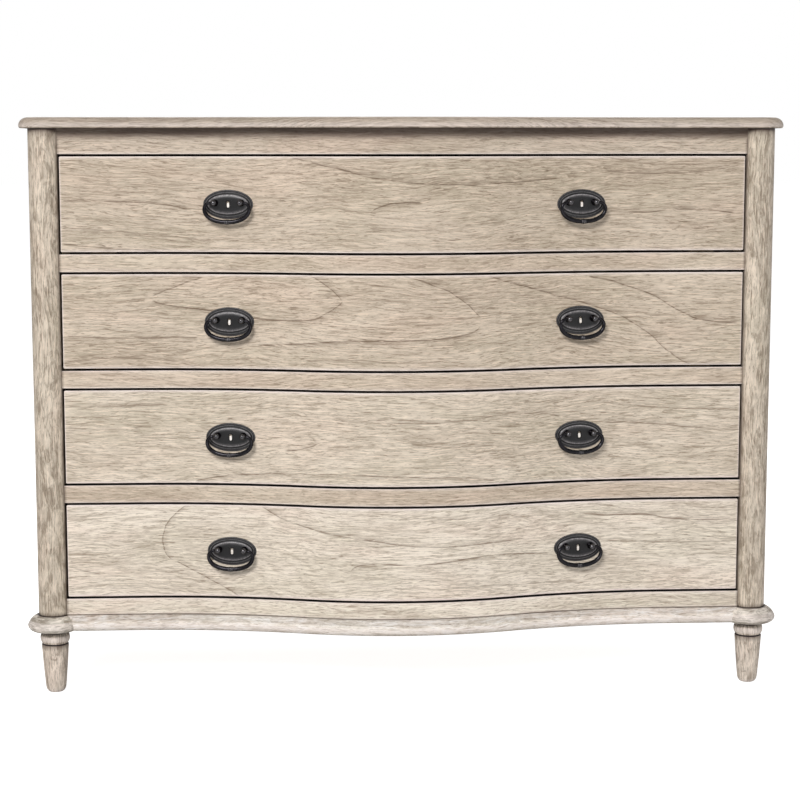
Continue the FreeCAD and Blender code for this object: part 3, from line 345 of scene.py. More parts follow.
class Graph:
    """Short calls for the nodes of one material, or of the world."""

    def __init__(self, owner):
        owner.use_nodes = True
        self.owner = owner
        self.tree = owner.node_tree
        self.tree.nodes.clear()

    def node(self, kind, **settings):
        made = self.tree.nodes.new("ShaderNode" + kind)
        count = len(self.tree.nodes) - 1
        made.location = (180 * (count % 12), -160 * (count // 12))
        for key, value in settings.items():
            setattr(made, key, value)
        return made

    def feed(self, socket, value):
        if isinstance(value, bpy.types.NodeSocket):
            self.tree.links.new(value, socket)
        else:
            socket.default_value = value

    def fed(self, kind, *values, **settings):
        """A node whose first inputs are fed with those values."""
        made = self.node(kind, **settings)
        for socket, value in zip(made.inputs, values):
            self.feed(socket, value)
        return made

    def named(self, kind, **values):
        """A node whose inputs of those names are fed, with _ in a name for a space."""
        made = self.node(kind)
        for label, value in values.items():
            self.feed(made.inputs[label.replace("_", " ")], value)
        return made

    def math(self, kind, *values):
        return self.fed("Math", *values, operation=kind).outputs[0]

    def plus(self, one, other):
        return self.math("ADD", one, other)

    def minus(self, one, other):
        return self.math("SUBTRACT", one, other)

    def times(self, first, *others):
        for other in others:
            first = self.math("MULTIPLY", first, other)
        return first

    def ramp(self, value, low, high, to_low=0.0, to_high=1.0, smooth=True):
        """Maps one range to another and stops at its ends."""
        shape = "SMOOTHSTEP" if smooth else "LINEAR"
        made = self.fed("MapRange", value, low, high, to_low, to_high, interpolation_type=shape)
        return made.outputs[0]

    def mix(self, share, one, other):
        made = self.node("Mix", data_type="RGBA")
        self.feed(made.inputs["Factor"], share)
        self.feed(made.inputs[6], one)
        self.feed(made.inputs[7], other)
        return made.outputs[2]

    def noise(self, vector, scale, detail, rough, warp=0.0):
        made = self.named("TexNoise", Vector=vector, Scale=scale, Detail=detail, Roughness=rough,
                          Distortion=warp)
        return made.outputs["Fac"]

    def curve(self, value, spots):
        """A smooth curve through a few spots, from 0 to 1 both ways."""
        made = self.named("FloatCurve", Value=value)
        line = made.mapping.curves[0]
        line.points[0].location = spots[0]
        line.points[1].location = spots[-1]
        for spot in spots[1:-1]:
            line.points.new(*spot)
        made.mapping.update()
        return made.outputs[0]

    def place(self):
        return self.node("TexCoord").outputs["Object"]

    def painted(self, label):
        return self.node("Attribute", attribute_name=label).outputs["Fac"]

    def bright_rays(self):
        """1 for the rays that see the background as white: camera, glossy and transmission."""
        rays = self.node("LightPath").outputs
        seen = self.math("MAXIMUM", rays["Is Camera Ray"], rays["Is Glossy Ray"])
        return self.math("MAXIMUM", seen, rays["Is Transmission Ray"])

    def finish(self, colour, roughness, height, bump, distance, **constants):
        lift = self.named("Bump", Strength=bump, Distance=distance, Height=height)
        shader = self.named("BsdfPrincipled", Base_Color=colour, Roughness=roughness, Normal=lift.outputs[0],
                            **constants)
        self.fed("OutputMaterial", shader.outputs[0])
        return self.owner


def turned_grain(graph, x, y, z):
    """The grain of the pieces turned on the corner posts' axes: up, round the axis, and out from it."""
    rear = graph.times(graph.math("GREATER_THAN", y, 0.0), (REAR_POST_Y - POST_Y) * MM)
    out_x = graph.minus(graph.math("ABSOLUTE", x), POST_X * MM)
    out_y = graph.minus(graph.minus(y, POST_Y * MM), rear)
    around = graph.times(graph.math("ARCTAN2", out_y, out_x), 0.9 * POST_R * MM)
    return z, graph.plus(around, graph.math("SIGN", x)), graph.plus(out_x, out_y)


def grain_frame(graph, along, seed):
    """Lengths along the grain, across it on the face and into the wood, shifted by seed, and x and z."""
    x, y, z = graph.fed("SeparateXYZ", graph.place()).outputs
    if along == "top":
        order = (x, graph.plus(y, z), graph.minus(y, z))
    elif along == "upright":
        order = (z, graph.plus(x, y), graph.minus(x, y))
    elif along == "turned":
        order = turned_grain(graph, x, y, z)
    else:
        order = {"X": (x, z, y), "Y": (y, z, x), "flat": (x, y, z), "side": (z, y, x)}[along]
    shift = seed * 3.17
    return [graph.plus(value, shift * (1 + at * 0.37)) for at, value in enumerate(order)], x, z


@dataclass
class Line:
    """A main growth line of a drawer front: its places in mm, how dark it is, and its shaded side."""
    places: list
    deep: float = 1.0
    side: float = 1.0
    shade: float = 0.011
    thin: float = 0.0021

    def drawn(self, graph, x, z, wobble):
        """The share of its dark tone all over the front: a thin core and a soft side."""
        run, rise = (abs(last - first) for first, last in zip(self.places[0], self.places[-1]))
        is_steep = rise > run * 0.95
        places = self.places
        if is_steep:
            places = [(up, across) for across, up in places]
            x, z = z, x
        places = sorted(places)
        low_x, high_x = places[0][0] * MM, places[-1][0] * MM
        margin = 0.002
        low_z = min(up for _, up in places) * MM - margin
        high_z = max(up for _, up in places) * MM + margin
        wide = high_x - low_x
        tall = high_z - low_z
        spots = [((a * MM - low_x) / wide, (b * MM - low_z) / tall) for a, b in places]
        curve = graph.curve(graph.ramp(x, low_x, high_x, smooth=False), spots)
        height = graph.ramp(curve, 0.0, 1.0, low_z, high_z, smooth=False)
        away = graph.times(graph.plus(graph.minus(z, height), wobble), self.side)
        core = graph.ramp(graph.math("ABSOLUTE", away), 0.0, self.thin, 1.0, 0.0)
        soft = graph.ramp(away, 0.0, self.shade, 0.34, 0.0)
        soft = graph.times(soft, graph.ramp(away, -0.0004, 0.0004))
        fade = 0.004 if is_steep else min(0.007, wide * 0.2)
        enter = graph.ramp(x, low_x, low_x + fade)
        leave = graph.ramp(x, high_x - fade, high_x, 1.0, 0.0)
        return graph.times(graph.math("MAXIMUM", core, soft), graph.times(enter, leave), self.deep)


class Wood(Graph):
    """Washed open-grained wood, laid on tone by tone. Limits are values of noise, and shares go to 1."""

    def __init__(self, name, seed, along, pale, dull, contrast):
        super().__init__(bpy.data.materials.new(name))
        (self.run, self.face, self.into), self.x, self.z = grain_frame(self, along, seed)
        self.pale = pale
        self.dull = dull
        self.contrast = contrast
        self.dark = changed(self.dull, 0.66, 0.62, 0.57)
        self.bend_grain()
        self.patch = self.fibre(2.2, 9.0, 4.0, 3.0, 0.6, 0.4)
        self.tint = self.fibre(4.0, 14.0, 6.0, 2.0, 0.5, 0.3, 1.3)
        self.cloud = self.fibre(6.0, 56.0, 20.0, 4.0, 0.62, 0.4)
        self.streak = self.fibre(15.0, 270.0, 60.0, 3.0, 0.6, 0.2)
        self.short = self.fibre(40.0, 620.0, 120.0, 2.5, 0.6, 0.2)
        self.pore = self.fibre(70.0, 900.0, 200.0, 2.0, 0.6)

    def fibre(self, length, width, deep, detail, rough, warp=0.0, scale=1.0):
        """Noise with about that many spots to a metre along the grain, across it and into the wood."""
        place = self.fed("CombineXYZ", self.times(self.run, length), self.times(self.face, width),
                         self.times(self.into, deep))
        return self.noise(place.outputs[0], scale, detail, rough, warp)

    def sway(self, noise, reach):
        """Noise as a length to either side."""
        return self.times(self.minus(noise, 0.5), reach)

    def bend_grain(self):
        """The grain wanders across the board, widely and then in ripples."""
        self.face = self.plus(self.face, self.sway(self.fibre(3.2, 8.0, 5.0, 2.0, 0.5), 0.04))
        self.face = self.plus(self.face, self.sway(self.fibre(15.0, 34.0, 20.0, 2.0, 0.5), 0.006))

    def lay(self, tone, noise, low, high, start, end):
        """Lays a tone on by a share that goes from start, where the noise is low, to end."""
        self.colour = self.mix(self.ramp(noise, low, high, start, end), self.colour, tone)

    def lay_by(self, tone, share):
        self.colour = self.mix(share, self.colour, tone)

    def ground(self):
        """Pale and dull patches with a green and a pink tint, clouded darker and lighter."""
        self.colour = self.mix(self.ramp(self.patch, 0.34, 0.66), linear(*self.dull), linear(*self.pale))
        self.lay(changed(self.pale, 0.865, 0.87, 0.84), self.tint, 0.36, 0.5, 0.4 * self.contrast, 0.0)
        self.lay(changed(self.pale, 1.0, 0.968, 0.962), self.tint, 0.52, 0.7, 0.0, 0.5)
        self.lay(self.dark, self.cloud, 0.4, 0.58, 0.12 * self.contrast, 0.0)
        self.lay(changed(self.pale, 1.05, 1.045, 1.04), self.cloud, 0.55, 0.72, 0.0, 0.28)

    def growth(self, turn, soft, hard):
        """A line once in each turn, with a soft side and a hard one."""
        return self.times(self.ramp(turn, 0.0, soft, 1.0, 0.0), self.ramp(turn, 0.0, hard))

    def wide_rings(self, rings):
        """Broad growth rings, 26 to a metre, broken up by the streaks."""
        warp = self.fibre(1.3, 5.0, 3.0, 2.0, 0.5)
        level = self.plus(self.times(self.face, 26.0), self.times(warp, 9.0 * rings))
        level = self.plus(level, self.times(self.cloud, 0.35))
        ring = self.growth(self.math("FRACT", level), 0.5, 0.03)
        broken = self.ramp(self.streak, 0.36, 0.62, 1.0, 0.25)
        tinted = self.ramp(self.tint, 0.42, 0.6, 0.08, 0.5)
        self.lay_by(self.dark, self.times(ring, broken, tinted, 0.55 * self.contrast))

    def fine_rings(self):
        """Fine growth lines, 150 to a metre, each with a pale side."""
        wander = self.fibre(8.0, 30.0, 16.0, 3.0, 0.55)
        turn = self.math("FRACT", self.plus(self.times(self.face, 150.0), self.times(wander, 8.0)))
        shown = self.ramp(self.streak, 0.4, 0.54, 1.0, 0.06)
        shown = self.times(shown, self.ramp(self.patch, 0.3, 0.7, 1.0, 0.5))
        self.line = self.times(self.growth(turn, 0.42, 0.08), shown)
        self.lay_by(self.dark, self.times(self.line, 0.68 * self.contrast))
        bright = self.times(self.ramp(turn, 0.72, 0.94), shown)
        self.lay_by(changed(self.pale, 1.1, 1.09, 1.08), self.times(bright, 0.42 * self.contrast))

    def mottled(self, share):
        """The blotchy wash on turned pieces."""
        spots = self.fibre(38.0, 70.0, 60.0, 4.0, 0.6, 0.6)
        self.lay(self.dark, spots, 0.38, 0.49, 0.6 * share, 0.0)
        self.lay(changed(self.pale, 1.1, 1.1, 1.1), spots, 0.52, 0.63, 0.0, 0.65 * share)

    def figured(self, lines):
        """The main growth lines, one over another."""
        wobble = self.sway(self.cloud, 0.008)
        total = lines[0].drawn(self, self.x, self.z, wobble)
        for line in lines[1:]:
            total = self.math("MAXIMUM", total, line.drawn(self, self.x, self.z, wobble))
        shown = self.ramp(self.streak, 0.35, 0.6, 1.0, 0.65)
        self.lay_by(changed(self.dull, 0.53, 0.47, 0.42), self.times(total, shown))

    def fibres(self):
        """Long streaks and short fibres, each dark and light, and the pores."""
        self.lay(changed(self.dull, 0.72, 0.69, 0.65), self.streak, 0.38, 0.5, 0.24 * self.contrast, 0.0)
        self.lay(changed(self.pale, 1.09, 1.08, 1.08), self.streak, 0.55, 0.68, 0.0, 0.4)
        self.lay(changed(self.dull, 0.68, 0.64, 0.59), self.short, 0.38, 0.45, 0.5 * self.contrast, 0.0)
        self.lay(changed(self.pale, 1.1, 1.08, 1.07), self.short, 0.56, 0.63, 0.0, 0.5 * self.contrast)
        self.pores = self.ramp(self.pore, 0.36, 0.41, 0.55, 0.0)
        self.lay_by(changed(self.dull, 0.54, 0.48, 0.42), self.pores)

    def edges(self):
        """Pale wear with painted highlights on arrises, and dark glaze with painted shade, brown at first
        and nearly black where it is thickest.
        """
        self.wear_and_highlight = self.times(self.painted("wear_and_highlight"), self.ramp(self.short, 0.3, 0.6, 0.55, 1.0))
        # The pale tone of wear and painted highlights.
        self.lay_by(linear(240, 228, 223), self.times(self.wear_and_highlight, 0.8))
        held = self.painted("glaze_and_shade")
        brown = self.ramp(held, 0.0, 0.8, smooth=False)
        uneven = self.ramp(self.cloud, 0.3, 0.7, 1.0, 0.8)
        # The brown of glaze and painted shade.
        self.lay_by(linear(70, 54, 47), self.times(brown, uneven))
        # Nearly black painted shade where the painted value passes 0.7.
        self.lay_by(linear(20, 13, 16), self.ramp(held, 0.7, 1.0))

    def surface(self):
        """Dull wood, smoother where pale wear and painted highlight are laid, with relief from fibres, pores
        and growth lines.
        """
        rough = self.minus(self.ramp(self.cloud, 0.3, 0.7, 0.56, 0.7), self.times(self.wear_and_highlight, 0.1))
        height = self.plus(self.times(self.streak, 0.4), self.times(self.short, 0.3))
        height = self.minus(height, self.times(self.pores, 0.6))
        height = self.minus(height, self.times(self.line, 0.5))
        return self.finish(self.colour, rough, height, 0.35, 0.0005, Specular_IOR_Level=0.25)


def wood(name, seed, along, pale, dull, figure=(), rings=1.0, contrast=1.0, mottle=0.0):
    """The material of one kind of wood in the chest, from its two ground tones."""
    made = Wood(f"wood_{name}", seed, along, pale, dull, contrast)
    made.ground()
    made.wide_rings(rings)
    made.fine_rings()
    if mottle:
        made.mottled(mottle)
    if figure:
        made.figured(figure)
    made.fibres()
    made.edges()
    return made.surface()


def bronze(name, low, high, pale_wear_and_highlight, smooth, specular, metal):
    """Dark lacquered bronze: painted shade darkens its hollows and the collars round the bolts, and painted
    highlights brighten ridges, balls and beads, as does wear where hands rub it.
    """
    graph = Graph(bpy.data.materials.new(name))
    place = graph.place()
    cloud = graph.noise(place, 90.0, 4.0, 0.6, 0.3)
    fine = graph.noise(place, 900.0, 3.0, 0.6)
    scratch = graph.noise(place, 340.0, 2.0, 0.5, 1.2)
    colour = graph.mix(graph.ramp(cloud, 0.35, 0.7), linear(*low), linear(*high))
    # Pale wear with painted highlights on ridges, balls and beads.
    wear_and_highlight = graph.times(graph.painted("wear_and_highlight"), graph.ramp(scratch, 0.35, 0.65, 0.45, 1.0))
    colour = graph.mix(wear_and_highlight, colour, linear(*pale_wear_and_highlight))
    # Nearly black painted shade in the hollows and round the bolts.
    colour = graph.mix(graph.painted("glaze_and_shade"), colour, linear(6, 5, 6))
    rough = graph.ramp(fine, 0.3, 0.7, smooth, smooth + 0.08)
    height = graph.plus(graph.times(fine, 0.4), graph.times(scratch, 0.6))
    return graph.finish(colour, rough, height, 0.12, 0.0002, Specular_IOR_Level=specular, Metallic=metal)


def steel(name):
    """Plated steel of nuts and screws, a little dulled."""
    graph = Graph(bpy.data.materials.new(name))
    place = graph.place()
    cloud = graph.noise(place, 160.0, 4.0, 0.6, 0.4)
    fine = graph.noise(place, 1400.0, 2.0, 0.6)
    colour = graph.mix(graph.ramp(cloud, 0.3, 0.7), linear(148, 145, 138), linear(186, 183, 176))
    rough = graph.ramp(fine, 0.3, 0.7, 0.3, 0.46)
    return graph.finish(colour, rough, fine, 0.12, 0.0002, Metallic=1.0)


# The main growth lines of the drawer fronts, from the top drawer down
FIGURES = [[
    Line([(-185, 866), (-98, 844), (-1, 826), (102, 822), (243, 832)], shade=0.016),
    Line([(-543, 755), (-410, 743), (-306, 733)], 0.64, -1.0),
    Line([(-543, 795), (-442, 794), (-344, 782)], 0.8),
    Line([(-58, 778), (-39, 789), (-15, 794), (26, 794)], side=-1.0),
    Line([(324, 779), (386, 777), (442, 781), (532, 775)], 0.96),
    Line([(317, 843), (396, 838), (539, 853)], 0.72),
    Line([(328, 863), (441, 853), (539, 856)], 0.56),
    Line([(-544, 729), (-443, 720), (-389, 716)], 0.96, -1.0),
    Line([(-61, 755), (-7, 749), (48, 752), (103, 746)], 0.48),
], [
    Line([(-404, 644), (-384, 632), (-318, 624), (-241, 611), (-158, 609), (-128, 620), (-107, 634),
          (-99, 642)], side=-1.0, shade=0.014),
    Line([(-404, 644), (-356, 665), (-320, 676)]),
    Line([(-163, 684), (-123, 662), (-106, 645), (-99, 634)]),
    Line([(-11, 682), (32, 668), (71, 651), (99, 631), (118, 611)], shade=0.014),
    Line([(-238, 567), (-191, 570), (-82, 576), (27, 579), (77, 583), (118, 609)], side=-1.0),
    Line([(126, 680), (235, 647), (338, 615), (384, 589), (439, 544), (470, 527)]),
    Line([(292, 676), (383, 651), (452, 614), (480, 603), (540, 598)]),
    Line([(-541, 583), (-412, 579), (-329, 579)], 0.88, -1.0),
    Line([(-542, 541), (-440, 546), (-330, 530)], 0.64),
    Line([(-164, 540), (-109, 547), (0, 542), (66, 550)], 0.56, -1.0),
], [
    Line([(-340, 342), (-284, 357), (-162, 363), (58, 358), (143, 350)], 0.96, -1.0),
    Line([(-118, 451), (-25, 447), (86, 448), (182, 458), (252, 441)], 0.72),
    Line([(321, 439), (401, 435), (475, 428), (547, 425)], 0.88),
    Line([(-540, 470), (-438, 469), (-383, 472)], 0.64),
    Line([(-541, 436), (-483, 433), (-417, 437)], 0.72, -1.0),
    Line([(-195, 399), (-162, 405), (-140, 414)], 0.88),
    Line([(286, 474), (401, 463), (546, 456)], 0.48),
    Line([(3, 416), (58, 409), (143, 409)], 0.64),
], [
    Line([(-346, 312), (-371, 294), (-386, 274), (-392, 251), (-388, 231), (-370, 217)], shade=0.012),
    Line([(-372, 218), (-328, 194), (-294, 175), (-261, 157)]),
    Line([(-234, 311), (-159, 276), (-71, 259), (34, 247), (193, 254)]),
    Line([(-93, 196), (-66, 218), (34, 219), (136, 229), (234, 228)], 0.96, -1.0),
    Line([(6, 296), (118, 290), (234, 291)], 0.48),
    Line([(280, 286), (384, 286), (436, 279), (548, 274)], thin=0.002),
    Line([(327, 244), (437, 239), (549, 241)], 0.72),
    Line([(-545, 208), (-518, 201), (-490, 196)], 0.8),
    Line([(51, 173), (119, 179), (293, 176)], 0.56),
]]

# The pale and the dull tone of each drawer front, paler from the top drawer down: painted light, brighter
# low down
DRAWER_TONES = [
    ((210, 196, 179), (188, 173, 155)),
    ((214, 200, 183), (192, 177, 159)),
    ((225, 213, 197), (205, 192, 175)),
    ((237, 226, 212), (218, 206, 191)),
]

fronts_wood = [wood(f"front_{at + 1}", 1.7 + at, "X", *tones, figure)
               for at, (tones, figure) in enumerate(zip(DRAWER_TONES, FIGURES))]
# The rails and the base step paler from the top rail down to the base: painted light, as on the drawer
# fronts.
rail_wood = wood("rails", 8.3, "X", (220, 206, 189), (194, 178, 160), rings=0.5, contrast=0.8)
low_rail_wood = wood("bottom_rail", 5.9, "X", (242, 231, 217), (216, 204, 189), rings=0.6, contrast=0.8)
top_rail_wood = wood("top_rail", 4.7, "X", (206, 192, 176), (180, 165, 148), rings=0.6, contrast=0.9)
top_wood = wood("top", 10.9, "top", (200, 187, 173), (173, 160, 147))
post_wood = wood("posts", 13.1, "turned", (212, 200, 184), (177, 164, 148), rings=0.8, mottle=0.8)
base_wood = wood("base", 17.7, "X", (252, 245, 237), (233, 223, 213), rings=0.5, contrast=0.8, mottle=0.5)
side_base_wood = wood("base_sides", 19.2, "Y", (228, 217, 204), (204, 191, 177), rings=0.5, contrast=0.8)
lobe_wood = wood("lobes", 21.5, "X", (224, 217, 208), (188, 180, 170), rings=0.7, mottle=1.0)
foot_wood = wood("feet", 23.9, "turned", (224, 212, 199), (186, 173, 159), rings=0.6, mottle=1.0)
side_wood = wood("sides", 27.4, "side", (214, 201, 183), (188, 172, 153))
rear_wood = wood("rear", 31.2, "upright", (206, 192, 172), (180, 164, 144), rings=0.8)
inner_wood = wood("inside", 35.8, "Y", (222, 202, 170), (200, 176, 142), rings=0.9, contrast=0.7)
cross_wood = wood("inside_cross", 37.3, "X", (222, 202, 170), (200, 176, 142), rings=0.9, contrast=0.7)
# A painted highlight: a near-white plug that makes the keyhole slots look brightly lit.
keyhole_highlight_wood = wood("in_keyholes", 39.4, "X", (255, 250, 244), (246, 238, 230), contrast=0.3)
bottom_wood = wood("drawer_bottoms", 41.6, "flat", (216, 192, 156), (196, 168, 130), rings=1.4, contrast=0.6)
# The third tone of each is the pale one of rubbed wear and painted highlights on ridges, balls and beads.
plate_bronze = bronze("bronze_plates", (12, 12, 14), (27, 26, 28), (165, 161, 163), 0.27, 0.25, 0.0)
rod_bronze = bronze("bronze_balls_and_bails", (19, 18, 21), (32, 31, 34), (96, 94, 96), 0.12, 0.5, 1.0)
nut_steel = steel("steel_fittings")


# The case

def top_outline(inset):
    """The outline of the top at one inset, from the rear left corner. The back edge isn't inset."""
    half = TOP_X - inset
    line = FACE - TOP_REACH + inset
    corner_x = TOP_X - TOP_CORNER
    corner_y = FACE - TOP_REACH + TOP_CORNER
    radius = TOP_CORNER - inset
    clear = 0.5
    right = [(x, line + bow(x)) for x in stations(corner_x) if 0 < x < corner_x - clear]
    for k in range(15):
        angle = radians(270 + 90 * k / 14)
        right.append((corner_x + radius * cos(angle), corner_y + radius * sin(angle)))
    right += [(half, corner_y + (TOP_Y - corner_y) * k / 12) for k in range(1, 13)]
    return [(-x, y) for x, y in reversed(right)] + right


def top_edge():
    """The edge of the top from its underside: (inset, height, painted shade, wear and painted highlight).
    Eased below, rounded above; painted shade darkens the underside and, lightly, the rounded edge.
    """
    # Painted shade under the overhang of the top.
    edge = [(60.0, TOP_LOW, 0.7), (20.0, TOP_LOW, 0.9), (8.0, TOP_LOW, 0.75), (TOP_EASE, TOP_LOW, 0.6)]
    for k in range(1, 6):
        angle = QUARTER * k / 5
        edge.append((TOP_EASE * (1 - sin(angle)), TOP_LOW + TOP_EASE * (1 - cos(angle)),
                     0.45 * (1 - k / 4), 0.5 if k > 3 else 0.0))
    edge.append((0.0, TOP_ROUND_LOW + 0.6, 0.1, 0.4))
    # Pale wear with painted highlights along the rounds of the edge.
    pale_wear_and_highlight = {1: 0.4, 2: 0.2}
    for k in range(1, 11):
        angle = QUARTER * k / 10
        rise = (TOP_HIGH - TOP_ROUND_LOW) * sin(angle)
        edge.append((TOP_ROUND_DEEP * (1 - cos(angle)), TOP_ROUND_LOW + rise, 0.12 if k < 8 else 0.0,
                     pale_wear_and_highlight.get(k, 0.0)))
    return edge + [(17.0, TOP_HIGH), (34.0, TOP_HIGH)]


def top_board():
    sheet = Sheet()
    rows = []
    deepest = TOP_CORNER - 4
    for inset, height, *paint in top_edge():
        outline = top_outline(inset if inset < TOP_CORNER else deepest)
        rows.append(sheet.row([(x, y, height) for x, y in outline], *paint))
    sheet.skin(rows)
    piece("top", sheet, top_wood, ["top_board"], 32.0)


# Height, how much thinner the post is there, and painted shade: at the foot over the lobe, and the painted
# shadow of the top near the head
POST_PLACES = [(BASE_TOP, 1.2, 0.75), (BASE_TOP + 0.6, 0.5, 0.6), (BASE_TOP + 2.0, 0.0, 0.35),
               (BASE_TOP + 7.0, 0.0, 0.0), (300.0, 0.0, 0.0), (600.0, 0.0, 0.0), (SHADE_LOW, 0.0, 0.0),
               (897.0, 0.0, 0.14), (903.0, 0.0, 0.4), (907.0, 0.0, 0.75), (TOP_LOW, 0.0, 0.9)]


def front_post(side, name):
    """A round post with a flat beside the drawers. Painted shade lines the corners of the flat, along the
    gap.
    """
    reach = acos((POST_X - SIDE_OF_POST) / POST_R)
    steps = 40
    corners = {0: 0.55, 1: 0.2}
    sheet = Sheet()
    rows = []
    for height, less, glaze_and_shade in POST_PLACES:
        points = []
        dark = []
        for at in range(steps + 1):
            angle = pi + reach + (WHOLE - 2 * reach) * at / steps
            x = POST_X + (POST_R - less) * cos(angle)
            y = POST_Y + (POST_R - less) * sin(angle)
            points.append((side * max(x, SIDE_OF_POST), y, height))
            dark.append(max(glaze_and_shade, corners.get(min(at, steps - at), 0.0)))
        rows.append(sheet.row(points, dark))
    sheet.skin(rows)
    piece(f"post_front_{name}", sheet, post_wood, [f"front_post_{name}"], 40.0)


def shaded_top(section):
    """A painted shadow on the top rail, under the overhang of the top, with more places for it."""
    middle = len(section) // 2 + 1
    between = [(0.0, SHADE_LOW + (SHADE_HIGH - SHADE_LOW) * k / 4, 0.0, 0.0) for k in range(1, 5)]
    out = []
    for back, height, glaze_and_shade, wear_and_highlight in section[:middle] + between + section[middle:]:
        share = min(1.0, max(0.0, (height - SHADE_LOW) / (SHADE_HIGH - SHADE_LOW)))
        shade = SHADE_DEEP * share * share * (3.0 - 2.0 * share)
        out.append((back, height, max(glaze_and_shade, shade), wear_and_highlight if height < SHADE_LOW else 0.0))
    return out


def dark_foot(section, low):
    """Painted shade along the lower arris of the bottom rail, where it meets the base."""
    return [(back, height, 0.55, 0.0) if back < 3.0 and height < low + 1.0 else (back, height, glaze_and_shade, wear_and_highlight)
            for back, height, glaze_and_shade, wear_and_highlight in section]


def rails():
    """The five rails, from the bottom one up: each fills the room between two drawers."""
    names = ["bottom_rail", "drawer_rail_lower", "drawer_rail_middle", "drawer_rail_upper", "top_rail"]
    rising = LEVELS[::-1]
    lows = [BASE_TOP] + [level + OPENING for level in rising]
    woods = {"bottom_rail": low_rail_wood, "top_rail": top_rail_wood}
    for name, low, high in zip(names, lows, rising + [TOP_LOW]):
        section = rounded_face(low, high, RAIL_BACK - FACE, RAIL_ARRIS, 0.75, RAIL_SHADE_BAND)
        if name == "top_rail":
            section = shaded_top(section)
        if name == "bottom_rail":
            section = dark_foot(section, low)
        bowed_bar(f"{name}_shown", woods.get(name, rail_wood), section, SIDE_OF_POST, [name])


def base_section():
    """The base moulding, a nose and a cove, from below: (out from the face, height, painted shade, wear and
    painted highlight). Shade is painted under it, in the cove and where it meets the rail.
    """
    out = [(BASE_BACK, BASE_LOW, 0.75, 0.0), (0.0, BASE_LOW, 0.75, 0.0), (NOSE_OUT, BASE_LOW, 0.7, 0.0)]
    for k in range(1, 13):
        angle = radians(-90 + NOSE_TURN * k / 12)
        out.append((NOSE_OUT + NOSE_R * cos(angle), NOSE_Z + NOSE_R * sin(angle),
                    max(0.0, 0.65 - 0.25 * k), 0.5 if 5 < k < 11 else 0.0))
    out += [(10.6, 120.1, 0.1, 0.0), (9.0, 121.4, 0.2, 0.0), (COVE_OUT, COVE_LOW, 0.2, 0.0)]
    for k in range(1, 8):
        angle = QUARTER * k / 8
        out.append((COVE_OUT - COVE_R * (1 - cos(angle)), COVE_LOW + COVE_R * sin(angle),
                    0.14 + 0.02 * k, 0.0))
    out += [(LEDGE, BASE_TOP - 0.4, 0.6, 0.0), (LEDGE, BASE_TOP, 0.7, 0.0)]
    return out + [(BASE_BACK, BASE_TOP, 0.7, 0.0)]


def base_front():
    section = [(-out, height, glaze_and_shade, wear_and_highlight) for out, height, glaze_and_shade, wear_and_highlight in base_section()]
    bowed_bar("base_front", base_wood, section, SIDE_OF_POST, ["base_moulding_front"], sharp=38.0)


def base_side(side, name):
    outs, heights, glaze_and_shade, wear_and_highlight = map(list, zip(*base_section()))
    sheet = Sheet()
    rows = []
    for k in range(13):
        y = SIDE_BASE_FRONT + (SIDE_BASE_REAR - SIDE_BASE_FRONT) * k / 12
        points = [(side * (SIDE_BASE_X + out), y, height) for out, height in zip(outs, heights)]
        rows.append(sheet.row(points, glaze_and_shade, wear_and_highlight))
    sheet.skin(rows)
    piece(f"base_{name}", sheet, side_base_wood, [f"base_moulding_{name}"], 38.0)


def lobe_profile():
    """A lobe from its underside up: a tight lower round and a long crowned slope up to the post. Painted
    shade lies under it and round the foot of the post, and pale wear with painted highlight round its widest
    part.
    """
    out = [(PROFILE_BORE, LOBE_LOW, 0.8), (23.0, LOBE_LOW, 0.9), (28.0, 101.6, 0.85), (32.0, 102.6, 0.8)]
    for k in range(1, 10):
        angle = QUARTER * k / 9
        radius = LOBE_R - LOBE_UNDER_R * (1 - sin(angle))
        height = LOBE_WIDEST - LOBE_UNDER_TALL * cos(angle)
        out.append((radius, height, max(0.0, 0.55 - 0.16 * k), 0.4 if k > 6 else 0.0))
    glaze_and_shade = {11: 0.35, 12: 0.9}
    for k in range(1, 13):
        share = k / 12
        angle = QUARTER * share
        fall = LOBE_CROWNED * (1 - cos(angle)) + (1 - LOBE_CROWNED) * share
        rise = LOBE_CROWNED * sin(angle) + (1 - LOBE_CROWNED) * share
        out.append((LOBE_R - LOBE_FALL * fall, BASE_TOP - LOBE_RISE * (1 - rise), glaze_and_shade.get(k, 0.0),
                    0.5 if k < 5 else 0.0))
    return out + [(25.7, BASE_TOP, 1.0), (PROFILE_BORE, BASE_TOP, 0.6)]


def lobes():
    """Four lobes in one piece. The rear two are sawn off flush with the back."""
    sheet = Sheet()
    for side in SIDES:
        turned(sheet, side * POST_X, POST_Y, lobe_profile(), 72)
        turned(sheet, side * POST_X, REAR_POST_Y, lobe_profile(), 72, BACK)
    piece("lobes", sheet, lobe_wood, ["corner_lobes"], 45.0)


